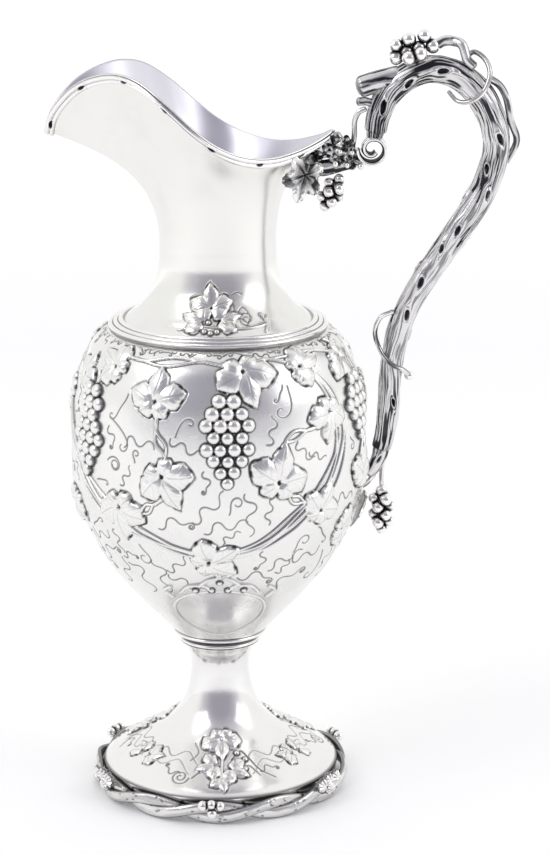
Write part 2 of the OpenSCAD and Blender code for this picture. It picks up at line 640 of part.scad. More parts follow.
module bracket_leaf_far() {
    bracket_leaf(1);
}
// A hanging cluster: one grape, rings of three turned against each other, one grape
ring_r_share = 1.25;
ring_drop_share = 1.3;
module hanging_cluster(r, rings) {
    for (k = [0 : rings + 1]) for (a = k == 0 || k == rings + 1 ? [0] : [0, 120, 240])
        translate([0, 0, -k * ring_drop_share * r]) rotate(a + 60 * k)
            translate([k == 0 || k == rings + 1 ? 0 : ring_r_share * r, 0, 0]) sphere(r);
}
cluster_lean = 28;
cluster_place_share = 0.7;
module bracket_grapes() {
    branch_r = 1.22 * bracket_r;
    hook = mix(bracket_points[1], bracket_points[2], cluster_place_share);
    color(grape_silver) translate(hook - (branch_r + seat_gap + bracket_grape_r) * [0, 0, 1])
        rotate([0, cluster_lean, 0]) hanging_cluster(bracket_grape_r, 3);
}

// The heel: a short branch from the cut end of the handle to the wall of the body
heel_points = [handle_at(0) - seat_gap * handle_dir(0),
    handle_at(0) - 0.9 * heel_r * handle_dir(0),
    handle_at(0) - [0.9, 0, 2.2] * heel_r, handle_at(0) - [2.2, 0, 3.1] * heel_r];
module heel_branch() {
    color(oxidised) difference() {
        branch(heel_points, 0.86 * heel_r, 0.5 * heel_r, 4, 10);
        body_solid(seat_gap);
    }
}
module heel_twig() {
    color(silver) difference() {
        branch([heel_points[2] + [0.2, 0, -0.5] * heel_r, heel_points[2] + [-0.5, 0, -1.4] * heel_r,
            heel_points[2] + [-1.6, 0, -2.1] * heel_r], wire_r, wire_r, 3, 8);
        body_solid(seat_gap);
        branch(heel_points, 0.86 * heel_r + seat_gap, 0.5 * heel_r + seat_gap, 4, 10);
    }
}
module heel_leaf() {
    z = heel_points[3][2] - 0.5 * heel_r - heel_leaf_len / 2;
    half_w = 0.2 * heel_leaf_len;
    color(silver) intersection() {
        difference() {
            body_solid(seat_gap + 1.6 * cast_leaf_w);
            body_solid(seat_gap);
        }
        translate([0, 0, z]) rotate([0, 90, 0]) linear_extrude(body_r + 4 * cast_leaf_w)
            polygon([for (a = leaf_angles) leaf_edge(a)
                * [heel_leaf_len / 2 * cos(a), half_w * sin(a) * 2]]);
    }
}
drop_x = heel_x + 0.1 * heel_r;
drop_top = heel_points[2][2] - 0.4 * heel_r;
module drop_stem() {
    color(silver) difference() {
        branch([heel_points[1] + [0.5, 0, -0.2] * heel_r, [drop_x, 0, drop_top],
            [drop_x, 0, drop_top - 1.1 * heel_r]], 1.2 * wire_r, wire_r, 4, 8);
        branch(heel_points, 0.86 * heel_r + seat_gap, 0.5 * heel_r + seat_gap, 4, 10);
    }
}
module drop_grapes() {
    color(grape_silver) translate([drop_x, 0,
        drop_top - 1.1 * heel_r - seat_gap - drop_grape_r])
        hanging_cluster(drop_grape_r, 4);
}

base_ring();
pedestal_foot();
foot_vine(0);  // foot_vine_inner
foot_vine(180);  // foot_vine_outer
foot_grapes(1);  // foot_grapes_1
foot_grapes(2);  // foot_grapes_2
foot_grapes(3);  // foot_grapes_3
foot_grapes(4);  // foot_grapes_4
foot_grapes(5);  // foot_grapes_5
foot_grapes(6);  // foot_grapes_6
stem_collar();
body();
shoulder_ring();
neck_and_spout();
lip_moulding();
handle_branch();
handle_scroll();
cut_branch();
broken_twig();
scroll_tendril();
top_grapes();
top_grape_stem();
upper_tendril();
side_twig();
lower_tendril();
bracket_branch();
bracket_stub();
bracket_leaf_near();
bracket_leaf_far();
bracket_grapes();
heel_branch();
heel_twig();
heel_leaf();
drop_stem();
drop_grapes();
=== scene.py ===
import math
import bpy
import numpy as np
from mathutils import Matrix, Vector


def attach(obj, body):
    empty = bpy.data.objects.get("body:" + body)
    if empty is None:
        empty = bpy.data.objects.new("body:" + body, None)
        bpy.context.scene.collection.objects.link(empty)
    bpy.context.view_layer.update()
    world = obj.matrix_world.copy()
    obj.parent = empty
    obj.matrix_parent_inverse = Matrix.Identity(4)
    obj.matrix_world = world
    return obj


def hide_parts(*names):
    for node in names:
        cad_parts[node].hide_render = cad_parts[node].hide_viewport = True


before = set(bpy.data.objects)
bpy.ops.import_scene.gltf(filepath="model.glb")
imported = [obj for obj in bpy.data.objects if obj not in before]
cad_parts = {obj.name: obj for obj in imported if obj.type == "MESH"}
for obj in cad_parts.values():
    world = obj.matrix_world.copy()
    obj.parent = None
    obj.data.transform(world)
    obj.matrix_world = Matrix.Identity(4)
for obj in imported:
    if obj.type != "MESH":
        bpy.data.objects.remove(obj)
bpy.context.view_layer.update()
MM = 0.001
rng = np.random.default_rng(11)

# Sizes, in millimetres
WALL, SEAT = 1.0, 0.3
FOOT_R, SKIRT_H, BASE_W, BASE_H = 62.2, 12.0, 5.5, 2.4
WAIST_R, WAIST_H, STEM_R, STEM_H = 15.4, 65.0, 21.0, 78.5
COLLAR_H, COLLAR_R = 7.0, 24.9
GROUND = 1.5
BODY_R, BODY_FOOT_R, BODY_H, THROAT_R = 77.9, 24.5, 164.7, 50.5
NECK_R, NECK_H, SPOUT, BACK, MOUTH_W = 29.7, 40.7, 86.9, 59.0, 100.0
LIP_RISE, CREST = 48.6, 41.5
BAND_H = 5.0
HANDLE_R, REACH, HEEL_RISE, HEEL_SPACE = 7.2, 56.9, 96.2, 1.3
ARCH_RISE, ARCH_H, BRACKET_RUN, OUT_INDEX = 40.3, 39.8, 20.8, 11
SCROLL_R, SCROLL_W = 8.2, 11.0
WIRE_R, TENDRIL_R, TWIG_R, STUMP_R = 1.2, 1.4, 2.0, 4.4
TOP_GRAPE_R, BRACKET_GRAPE_R, DROP_GRAPE_R = 3.8, 3.0, 3.2
BODY_Z = STEM_H + COLLAR_H
THROAT_Z = BODY_Z + BODY_H
NECK_Z = THROAT_Z + NECK_H
LIP_Z = NECK_Z + LIP_RISE
HEEL_Z = BODY_Z + HEEL_RISE

FOOT_SHARES = [[1, 0], [0.916, 0.057], [0.744, 0.14], [0.53, 0.245],
    [0.314, 0.368], [0.142, 0.53], [0.045, 0.717], [0.004, 0.91], [0, 1]]
STEM_SHARES = [[0.15, 0.37], [0.5, 0.72], [1, 1]]
BODY_SHARES = [[0.411, 0.049], [0.517, 0.102], [0.643, 0.171], [0.754, 0.237],
    [0.881, 0.333], [0.963, 0.424], [0.994, 0.501], [1, 0.586], [0.995, 0.683],
    [0.974, 0.774], [0.937, 0.853], [0.866, 0.926], [0.764, 0.973]]
NECK_SHARES = [[1, 0], [0.735, 0.128], [0.495, 0.224], [0.173, 0.45], [0.024, 0.732], [0, 1]]
RIM_SHARES = [[0, 0, 0.229], [0.048, 0.15, 0.133], [0.13, 0.36, 0.036],
    [0.219, 0.6, 0], [0.315, 0.82, 0.06], [0.404, 0.95, 0.205],
    [0.487, 1, 0.422], [0.576, 0.94, 0.7], [0.665, 0.76, 0.928],
    [0.747, 0.55, 1], [0.829, 0.37, 0.94], [0.898, 0.25, 0.807],
    [0.952, 0.16, 0.614], [0.986, 0.08, 0.422], [1, 0, 0.229]]
HANDLE_SHARES = [[0, 0, 0.72], [0.042, 0.052, 0.75], [0.069, 0.118, 0.78],
    [0.079, 0.183, 0.79], [0.104, 0.259, 0.8], [0.169, 0.34, 0.83],
    [0.283, 0.415, 0.85], [0.441, 0.486, 0.88], [0.617, 0.564, 0.9],
    [0.793, 0.638, 0.93], [0.928, 0.713, 0.96], [1, 0.799, 0.96],
    [0.956, 0.875, 0.97], [0.833, 0.94, 0.985], [0.634, 0.985, 1],
    [0.397, 1, 1], [0.186, 0.979, 0.96], [0.033, 0.938, 0.89],
    [-0.053, 0.885, 0.83], [-0.081, 0.8375, 0.8]]

# Counts of rows and columns in the meshes of the chased pieces
BODY_ROWS, BODY_COLS, INSIDE_COLS = 470, 1200, 125
FOOT_ROWS, FOOT_COLS, FOOT_INSIDE_COLS = 210, 840, 168
NECK_COLS, NECK_ROWS, SPOUT_ROWS = 28 * 24, 130, 84
LIP_COLS, LIP_ROWS = 28 * 40, 30
SPUN_COLS = 300
STRAND_ROWS, STRAND_SIDES = 1400, 26
HANDLE_ROWS, HANDLE_SIDES = 1150, 264
SCROLL_ROWS, SCROLL_SIDES = 260, 48


# Curves and grids
def cubic(a, b, c, d, t):
    """The point at the share t from b to c, on a smooth curve through a, b, c and d."""
    return (2 * b + (c - a) * t + (2 * a - 5 * b + 4 * c - d) * t ** 2
            + (3 * b - a - 3 * c + d) * t ** 3) / 2


def spline(points, u):
    """A smooth curve through points at the places u, counted in points."""
    p = np.asarray(points, float)
    last = len(p) - 1
    p = np.vstack([2 * p[0] - p[1], p, 2 * p[-1] - p[-2]])
    u = np.clip(np.asarray(u, float), 0, last)
    i = np.minimum(u.astype(int), last - 1)
    return cubic(p[i], p[i + 1], p[i + 2], p[i + 3], (u - i)[..., None])


def ring_spline(points, count):
    """A smooth closed curve through points."""
    p = np.asarray(points, float)
    n = len(p)
    u = np.arange(count) * n / count
    i = u.astype(int)
    return cubic(p[i - 1], p[i], p[(i + 1) % n], p[(i + 2) % n], (u - i)[..., None])


def dense(points, steps):
    """A smooth curve through points, in so many steps from each point to the next."""
    last = len(points) - 1
    return spline(points, np.linspace(0, last, steps * last + 1))


def arc(line):
    """The distance of each point from the first, along the line."""
    return np.concatenate([[0], np.cumsum(np.linalg.norm(np.diff(line, axis=0), axis=1))])


def even(points, count):
    """A smooth curve through points, at even distances."""
    p = dense(points, 24)
    s = arc(p)
    t = np.linspace(0, s[-1], count)
    return np.stack([np.interp(t, s, column) for column in p.T], 1)


def unit(v):
    """The vectors of v, each made one long."""
    return v / np.linalg.norm(v, axis=-1)[..., None]


def circle(count):
    """Angles at even distances round a circle."""
    return np.arange(count) * 2 * np.pi / count


def smooth(x, lo, hi):
    """A soft step from 0 at lo to 1 at hi."""
    t = np.clip((x - lo) / (hi - lo), 0, 1)
    return t * t * (3 - 2 * t)


def noise2(x, y, seed=0, wrap=0):
    """Smooth lattice noise between -1 and 1, which repeats in x after wrap where that is set."""
    xi, yi = np.floor(x).astype(int), np.floor(y).astype(int)
    xf, yf = x - xi, y - yi
    u, v = xf * xf * (3 - 2 * xf), yf * yf * (3 - 2 * yf)

    def h(a, b):
        a = a % wrap if wrap else a
        n = (a * 374761393 + b * 668265263 + seed * 974711) & 0x7fffffff
        n = ((n ^ (n >> 13)) * 1274126177) & 0x7fffffff
        return (n ^ (n >> 16)) % 65536 / 32768.0 - 1
    return (h(xi, yi) * (1 - u) * (1 - v) + h(xi + 1, yi) * u * (1 - v)
            + h(xi, yi + 1) * (1 - u) * v + h(xi + 1, yi + 1) * u * v)


def inside_out(verts, faces):
    """Whether a closed mesh is wound inside out."""
    p = verts - verts.mean(axis=0)
    tri = np.vstack([faces[:, :3], faces[:, [0, 2, 3]]])
    a, b, c = p[tri[:, 0]], p[tri[:, 1]], p[tri[:, 2]]
    return np.einsum("ij,ij->i", a, np.cross(b, c)).sum() < 0


def mesh(name, verts, faces, mats, patina_and_shade=None, mat_ids=None):
    """A mesh of four-sided faces, smooth where it has patina and painted shade for its silver."""
    verts = np.asarray(verts, float).reshape(-1, 3)
    if inside_out(verts, faces):
        faces = faces[:, ::-1]
    me = bpy.data.meshes.new(name)
    me.vertices.add(len(verts))
    me.vertices.foreach_set("co", (verts.astype(np.float32) * MM).ravel())
    me.loops.add(faces.size)
    me.loops.foreach_set("vertex_index", faces.astype(np.int32).ravel())
    me.polygons.add(len(faces))
    me.polygons.foreach_set("loop_start", np.arange(0, faces.size, 4))
    me.polygons.foreach_set("use_smooth", np.full(len(faces), patina_and_shade is not None))
    if mat_ids is not None:
        me.polygons.foreach_set("material_index", mat_ids)
    for mat in mats:
        me.materials.append(mat)
    if patina_and_shade is not None:
        attribute = me.attributes.new("patina_and_shade", "FLOAT", "POINT")
        attribute.data.foreach_set("value", np.asarray(patina_and_shade, np.float32).ravel())
    me.update(calc_edges=True)
    me.validate()
    ob = bpy.data.objects.new(name, me)
    bpy.context.scene.collection.objects.link(ob)
    return ob


def quads(rows, cols, closed_rows=False):
    """Faces of a grid whose rows are stacked rings of points."""
    i, j = np.meshgrid(np.arange(rows if closed_rows else rows - 1), np.arange(cols), indexing="ij")
    i2, j2 = (i + 1) % rows, (j + 1) % cols
    return np.stack([i * cols + j, i * cols + j2, i2 * cols + j2, i2 * cols + j], -1).reshape(-1, 4)


def place(ob, slot, *nodes):
    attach(ob, "root")
    if nodes:
        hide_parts(*nodes)
    return ob


def piece(name, slot, verts, faces, patina_and_shade, node=None, mat_ids=None):
    """A piece in its slot's silver, for the CAD node of its own name unless node says another."""
    ob = mesh(name, verts, faces, SILVERS[slot], patina_and_shade, mat_ids)
    return place(ob, slot, node or name.lower())


def joined(parts):
    """Parts, each of them vertices, faces and patina with painted shade, as one."""
    starts = np.cumsum([0] + [len(v) for v, f, t in parts])
    return (np.vstack([v for v, f, t in parts]),
            np.vstack([f + start for (v, f, t), start in zip(parts, starts)]),
            np.concatenate([np.ravel(t) for v, f, t in parts]))


def leaf_solid(face, back, dark, back_dark):
    """A leaf of a face and a back: its vertices, faces and tarnish."""
    v = np.concatenate([face, back[::-1]])
    t = np.concatenate([dark, np.full_like(dark, back_dark)])
    return v.reshape(-1, 3), quads(len(v), v.shape[1]), t


# Relief on a surface
class Relief:
    """A height map over azimuth (degrees from the front, + towards the handle) and the wall's length."""

    def __init__(self, az, s, r, z):
        self.az, self.s, self.r, self.z = az, s, r, z
        order = np.argsort(z)
        self.z_up, self.r_up, self.s_up = z[order], r[order], s[order]
        self.h = np.zeros((len(s), len(az)))
        self.t = np.zeros_like(self.h)
        self.cut = np.zeros_like(self.h)

    def s_at(self, z):
        """The length along the wall at a height."""
        return np.interp(z, self.z_up, self.s_up)

    def r_at(self, z):
        """The radius at a height."""
        return np.interp(z, self.z_up, self.r_up)

    def window(self, az0, z0, reach):
        """The cells within reach of a place, and their distances from it across and along the wall."""
        s0 = self.s_at(z0)
        rows = np.where(np.abs(self.s - s0) < reach)[0]
        d = (self.az - az0 + 180) % 360 - 180
        cols = np.where(np.abs(d) < np.degrees(reach / self.r[rows].min()))[0]
        du = np.radians(d[cols])[None, :] * self.r[rows][:, None]
        dv = np.broadcast_to((self.s[rows] - s0)[:, None], du.shape)
        return np.ix_(rows, cols), du, dv

    def grape(self, az0, z0, r, lift):
        """A round grape that stands out, with painted shade where it meets what lies round it."""
        ix, du, dv = self.window(az0, z0, r * 1.7)
        d = np.hypot(du, dv)
        cap = np.sqrt(np.clip(r * r - d * d, 0, None)) * 0.78 + lift * 0.6
        cur = self.h[ix]
        inside = (d < r) & (cap > cur)
        # Painted shade: a dark ring on the lower ground round the grape, and the grape's own rim darkened.
        shade = np.where(cur < lift + 0.8, smooth(r + 1.1 - d, 0, 0.9) * 0.95, 0)
        self.t[ix] = np.where(inside, 1 - smooth(r - d, 0.0, 0.55), np.maximum(self.t[ix], shade))
        self.h[ix] = np.where(inside, cap, cur)

    def line(self, pts, width, height, dark, halo=0.0, steps=8, end=1.0):
        """A raised (or, below zero, cut) line through (azimuth, z) points, whose end has the share end."""
        p = dense(pts, steps)
        for i in range(len(p) - 1):
            wd = width * (1 - (1 - end) * i / (len(p) - 1))
            mid = (p[i] + p[i + 1]) / 2
            across = np.radians(p[i:i + 2, 0] - mid[0]) * self.r_at(mid[1])
            along = self.s_at(p[i:i + 2, 1]) - self.s_at(mid[1])
            a = np.array([across[0], along[0]])
            ab = np.array([across[1], along[1]]) - a
            length = float(np.hypot(*ab))
            ix, du, dv = self.window(mid[0], mid[1], length / 2 + wd + halo + 0.6)
            q = np.clip(((du - a[0]) * ab[0] + (dv - a[1]) * ab[1]) / max(length ** 2, 1e-9), 0, 1)
            d = np.hypot(du - a[0] - q * ab[0], dv - a[1] - q * ab[1])
            cur = self.h[ix]
            if height > 0:
                cap = height * np.sqrt(np.clip(1 - (d / wd) ** 2, 0, None))
                over = (d < wd) & (cap > cur)
                # A raised line gets painted shade: darker towards its flanks, and a dark halo on the lower
                # ground round it.
                shade = np.where(cur < 0.4, dark * (1 - smooth(d, wd, wd + halo + 1e-6)), 0)
                self.t[ix] = np.where(over, smooth(d, 0.6 * wd, wd) * dark, np.maximum(self.t[ix], shade))
                self.h[ix] = np.where(over, cap, cur)
            else:
                cut = height * np.clip(1 - d / wd, 0, 1)
                self.h[ix] = cur + np.minimum(cut - self.cut[ix], 0)
                self.cut[ix] = np.minimum(self.cut[ix], cut)
                self.t[ix] = np.maximum(self.t[ix], dark * np.clip(1.25 - d / wd, 0, 1))

    def lines(self, base, paths, *look):
        """Lines whose azimuths count from base."""
        for path in paths:
            self.line([(a + base, z) for a, z in path], *look)

    def leaf(self, az0, z0, size, turn, height, seed, small=False):
        """A vine leaf of puffed, toothed lobes; turn is the tip's direction, from up towards +azimuth."""
        ix, du, dv = self.window(az0, z0, size * 1.3)
        a = math.radians(turn)
        x = du * math.sin(a) + dv * math.cos(a) + 0.3 * size
        y = du * math.cos(a) - dv * math.sin(a)
        top = np.full(du.shape, -9.0)
        dark = np.zeros(du.shape)
        inside = np.zeros(du.shape, bool)
        near = np.full(du.shape, 9.0)
        sway = math.sin(2.3 * seed)
        lobes = [(0, 1.2, 0.38, 0.25)]
        lobes += [(k * 68 + 6 * sway, 1.02 - 0.06 * k * sway, 0.46, 0.0) for k in (-1, 1)]
        if not small:
            lobes += [(k * (128 - 5 * sway), 0.62, 0.33, 0.0) for k in (-1, 1)]
        for k, (spread, long, wide, point) in enumerate(lobes):
            b = math.radians(spread)
            u, v = x * math.cos(b) + y * math.sin(b), y * math.cos(b) - x * math.sin(b)
            mid, half = 0.5 * long * size, 0.52 * long * size
            side = wide * size * (1 - point * np.clip((u - mid) / half, 0, 1))
            e = np.hypot((u - mid) / half, v / side)
            th = np.arctan2(v / side, (u - mid) / half)
            tooth = 1 - np.abs(np.sin(2.5 * th + 0.5 * math.sin(seed + k)))
            f = e / (0.92 + 0.12 * tooth ** 1.3)
            dome = np.clip(1 - f ** 2, 0, 1) ** 0.62
            vein = np.abs(v + 0.05 * size * np.sin(u / size * 3 + seed))
            ribs = np.abs(((u - 0.9 * vein) / (0.22 * size)) % 1 - 0.5)
            groove = (1 - smooth(vein, 0.1, 0.5)) * (f < 0.8) * smooth(u, 0.1 * size, 0.3 * size)
            rib = (1 - smooth(ribs, 0.03, 0.2)) * smooth(vein, 0.5, 1.4) * (f < 0.85)
            lobe = height * (0.16 + 1.2 * dome) - 0.16 * groove - 0.06 * rib
            lobe = np.where(f < 1, lobe * smooth(1 - f, 0, 0.1), -9)
            over = lobe > top
            notch = (1 - smooth(tooth, 0.05, 0.3)) * smooth(f, 0.80, 0.95)
            # Patina in the vein groove, ribs and notches, and painted shade along each lobe's edge.
            t = np.maximum.reduce([0.28 * groove, 0.08 * rib, notch, 0.95 * smooth(f, 0.92, 1.0)])
            dark = np.where(over, t, dark)
            top = np.where(over, lobe, top)
            inside |= f < 1
            near = np.minimum(near, (f - 1) * half)
        cur = self.h[ix]
        over = inside & (top > cur - 0.2)
        # A patchy painted shadow on the ground just outside the leaf, where the ground is also sunk a little.
        patch = 0.5 + 0.5 * noise2(du / 2.4 + seed, dv / 2.4, seed)
        out = (0.5 + 0.5 * smooth(patch, 0.3, 0.7)) * (1 - smooth(near, 0.3, 0.6 + patch))
        out = out * (~inside) * (cur < 0.5)
        self.t[ix] = np.where(over, dark, np.maximum(self.t[ix], out))
        self.h[ix] = np.where(over, np.maximum(top, 0.3 * cur), cur - 0.25 * (out > 0.3))

    def curl(self, az0, z0, size, turn, kind, width=0.52, height=-0.28, dark=0.85, bend=0.3):
        """An engraved tendril: a wave (0), a wave that ends in a curl (1), a hook (2) or a spiral (3)."""
        q = np.linspace(0, 1, 25)
        if kind == 0:
            length = 1.5
            heading = (1.25 - 0.3 * q) * np.cos(3.6 * np.pi * q + 2 * bend) + 1.3 * bend * q
        elif kind == 1:
            length = 1.8
            heading = 1.1 * np.cos(4.2 * np.pi * q + bend) * (1 - smooth(q, 0.5, 0.75))
            heading = heading + 55 * np.clip(q - 0.5, 0, 1) ** 2.3
        elif kind == 2:
            length = 1.2
            heading = 0.5 * q + bend * np.sin(2 * np.pi * q) + 4.6 * q ** 4
        else:
            length = 1.75
            heading = 11.5 * q ** 1.5
        x, y = (np.cumsum(part) * length / len(q) for part in (np.sin(heading), np.cos(heading)))
        x, y = x - x.mean(), y - y.mean()
        a = math.radians(turn)
        u = size * (x * math.cos(a) + y * math.sin(a))
        v = size * (y * math.cos(a) - x * math.sin(a))
        z = np.interp(self.s_at(z0) + v, self.s, self.z)
        az = az0 + np.degrees(u / self.r_at(z0))
        self.line(np.column_stack([az, z]), width, height, dark, steps=3, end=0.75)

    def fill(self, az_lo, az_hi, z_lo, z_hi, step, size, seed):
        """Tendrils on the bare places of a stretch of the ground."""
        draw = np.random.default_rng(seed)
        kinds = [0, 0, 0, 1, 1, 2, 2, 3]
        for i, z in enumerate(np.arange(z_lo, z_hi, step)):
            wide = math.degrees(step * 1.12 / self.r_at(z))
            for a in np.arange(az_lo + (i % 2) * wide / 2, az_hi, wide):
                a1, z1 = a + draw.uniform(-0.25, 0.25) * wide, z + draw.uniform(-0.3, 0.3) * step
                turn, kind = draw.uniform(0, 180), int(draw.choice(kinds[:8 - (size < 16)]))
                k = draw.uniform(0.85, 1.2)
                ix = self.window(a1, z1, 0.4 * size * k)[0]
                if self.h[ix].max() < 0.5 and self.t[ix].mean() < 0.024:
                    self.curl(a1, z1, size * k, turn, kind, bend=draw.uniform(-0.7, 0.7))

    def spiral(self, az0, z0, r0, turns, spin, start, width, height, dark):
        """An engraved spiral that winds inwards."""
        f = np.linspace(0, 1, max(8, int(turns * 10)))
        a = math.radians(start) + spin * f * turns * 2 * math.pi
        q = r0 * (1 - 0.86 * f)
        z = np.interp(self.s_at(z0) + q * np.cos(a), self.s, self.z)
        az = az0 + np.degrees(q * np.sin(a) / self.r_at(z0))
        self.line(np.column_stack([az, z]), width, height, dark, steps=3)


def revolve(line, cols):
    """Azimuths, points and normals of a surface of revolution: rows along the outline."""
    line = np.asarray(line, float)
    az = np.arange(cols) * 360.0 / cols
    a = np.radians(az - 90)
    ring = np.stack([np.cos(a), np.sin(a), np.zeros(cols)], 1)
    up = np.array([0, 0, 1.0])
    t = unit(np.gradient(line, axis=0))
    pts = line[:, 0][:, None, None] * ring[None] + up * line[:, 1][:, None, None]
    nrm = t[:, 1][:, None, None] * ring[None] - up * t[:, 0][:, None, None]
    return az, pts, nrm


def plain_wall(line, cols):
    """A surface of revolution without tarnish: its vertices, faces and tarnish."""
    pts = revolve(line, cols)[1].reshape(-1, 3)
    return pts, quads(len(line), cols), np.zeros(len(pts))


# The body
BODY_POINTS = [[BODY_FOOT_R, BODY_Z]]
BODY_POINTS += [[a * BODY_R, BODY_Z + b * BODY_H] for a, b in BODY_SHARES]
BODY_POINTS += [[THROAT_R, THROAT_Z]]
BODY_LINE = even(BODY_POINTS, BODY_ROWS)
GRAPE_R, GRAPE_PITCH = 3.75, 7.3
# Heights of the ground that has tendrils, then the bare oval's middle, half width in degrees and half height
VINE_LOW, VINE_TOP = 129, 246
OVAL_Z, OVAL_W, OVAL_H = 107, 30, 16.5
# How far the chasing may stand out past the body's radius
PROUD = 1.1


def body_radius(z):
    return np.interp(z, BODY_LINE[:, 1], BODY_LINE[:, 0])


def grape_bunch(rel, az0, z, rows):
    """A bunch of grapes, the rows one under another, with smaller ones towards its end."""
    for i, n in enumerate(rows):
        f = i / (len(rows) - 1)
        pitch = GRAPE_PITCH * (1 - 0.08 * f)
        for k in range(n):
            jit = rng.uniform(-0.25, 0.25, 2)
            off = (k - (n - 1) / 2) * pitch + jit[0]
            r = GRAPE_R * (1 - 0.14 * f) * rng.uniform(0.93, 1.05)
            rel.grape(az0 + math.degrees(off / rel.r_at(z)), z + jit[1], r,
                      0.55 + 0.5 * math.sin(math.pi * (k + 0.5) / n))
        z -= 0.83 * pitch


# Leaves, front and back: azimuth, z, size, direction of the tip, height, seed
LEAVES = [
    (11.5, 236, 16.5, 165, 2.1, 1), (-25.5, 229, 15.5, 5, 2.0, 2), (-20.0, 184, 16.0, 150, 2.1, 3),
    (-40.5, 164, 16.0, 175, 2.0, 4), (-1.5, 144, 15.0, 60, 2.1, 5), (23.5, 189, 17.0, 12, 2.2, 6),
    (43.0, 169, 13.5, 30, 1.9, 7), (47.0, 212, 14.0, 190, 2.0, 8), (40.0, 240, 12.5, 75, 1.7, 9),
    (-52.0, 239, 13.0, -60, 1.6, 10), (66.0, 236, 14.0, 150, 1.9, 11), (-76.0, 158, 13.5, 200, 1.7, 12),
    (-91, 214, 12.5, 170, 1.8, 16), (72.0, 180, 14.5, 20, 2.1, 13), (62.0, 150, 12.5, 90, 1.6, 14),
    (-70, 232, 12.0, 20, 1.7, 15),
    (189.5, 238, 16.0, 165, 2.1, 21), (154.5, 229, 15.0, 5, 2.0, 22), (160, 184, 15.5, 150, 2.1, 23),
    (139.5, 164, 15.5, 175, 2.0, 24), (177.5, 144, 14.5, 60, 2.1, 25), (203.5, 189, 16.5, 12, 2.2, 26),
    (223, 172, 13.0, 30, 1.9, 27), (225, 212, 13.5, 190, 2.0, 28), (216, 240, 12.0, 75, 1.7, 29),
    (128, 239, 12.5, -60, 1.6, 30), (247, 236, 13.5, 150, 1.9, 31), (104, 158, 13.0, 200, 1.7, 32),
    (90, 216, 12.0, 170, 1.8, 36), (250, 180, 14.0, 20, 1.9, 33), (242, 150, 12.0, 90, 1.6, 34),
    (110, 232, 12.0, 20, 1.7, 35)]
# Stems: points of azimuth and z, and the offsets of the strands
WREATH = [
    ([(-88, 214), (-70, 190), (-55, 172), (-38, 160), (-20, 150), (-3, 144)], (-4, -2.2, -0.6, 1.2, 2.8)),
    ([(-3, 144), (16, 150), (30, 162), (42, 175), (51, 191), (54, 208), (50, 226), (40, 241)],
     (-5, -3, -1.2, 0.6, 2.6, 4.4)),
    ([(-25, 224), (-24, 210), (-21, 200), (-20, 190)], (-0.8, 0.8)),
    ([(-22, 176), (-28, 170), (-36, 166)], (-0.8, 0.8)),
    ([(23, 182), (30, 174), (38, 170)], (-0.8, 0.8)),
    ([(23, 196), (26, 205), (34, 208), (43, 210)], (-0.7, 0.7)),
    ([(9.5, 241), (22, 244), (36, 243), (50, 244), (64, 241)], (-0.9, 0.9)),
    ([(9.5, 241), (-6, 243.5), (-22, 243), (-36, 242.5), (-52, 243)], (-0.9, 0.9)),
    ([(5, 238), (4, 234), (3.5, 230)], (0,)),
    ([(-57, 238), (-58, 233), (-58, 227)], (0,)), ([(68, 236), (69, 233), (69, 230)], (0,))]
SIDE_STEM = [(52, 248), (62, 247), (71, 240), (76, 228), (77, 214), (75, 200), (70, 187)]
BUNCHES = [(3.2, 226.5, (2, 3, 4, 3, 4, 3, 2, 1)), (-59.5, 224, (2, 3, 2, 3, 4, 3, 2, 1)),
           (70, 227, (2, 3, 4, 3, 2, 1))]
OVAL_CREST = [
    [(-20, 122), (-15, 126.5), (-8, 127.5), (-4, 124)], [(20, 122), (15, 126.5), (8, 127.5), (4, 124)],
    [(-10, 127), (-5, 131), (0, 132.5), (5, 131), (10, 127)],
    [(-26, 118), (-29, 122), (-25, 125)], [(26, 118), (29, 122), (25, 125)]]
CREST_BEADS = [(-4, 124.5), (4, 124.5), (0, 129), (-12, 124), (12, 124)]


def bundle(rel, pts, offsets):
    """Stems that run side by side, drawn together at both ends."""
    p = dense(pts, 5)
    r = rel.r_at(p[:, 1])
    u, v = np.radians(p[:, 0]) * r, rel.s_at(p[:, 1])
    d = unit(np.stack([np.gradient(u), np.gradient(v)], 1))
    q = np.linspace(0, 1, len(p))
    belly = np.sin(np.pi * q)
    for i, off in enumerate(offsets):
        o = off * (0.3 + 0.7 * belly) + 1.5 * np.sin(10 * q + 2.4 * i) * belly
        z = np.interp(v + o * d[:, 0], rel.s, rel.z)
        az = np.degrees((u - o * d[:, 1]) / r)
        rel.line(np.column_stack([az, z]), 0.8, 1.15 * (1 - 0.2 * (i % 2)), 0.95, 0.6, steps=2)


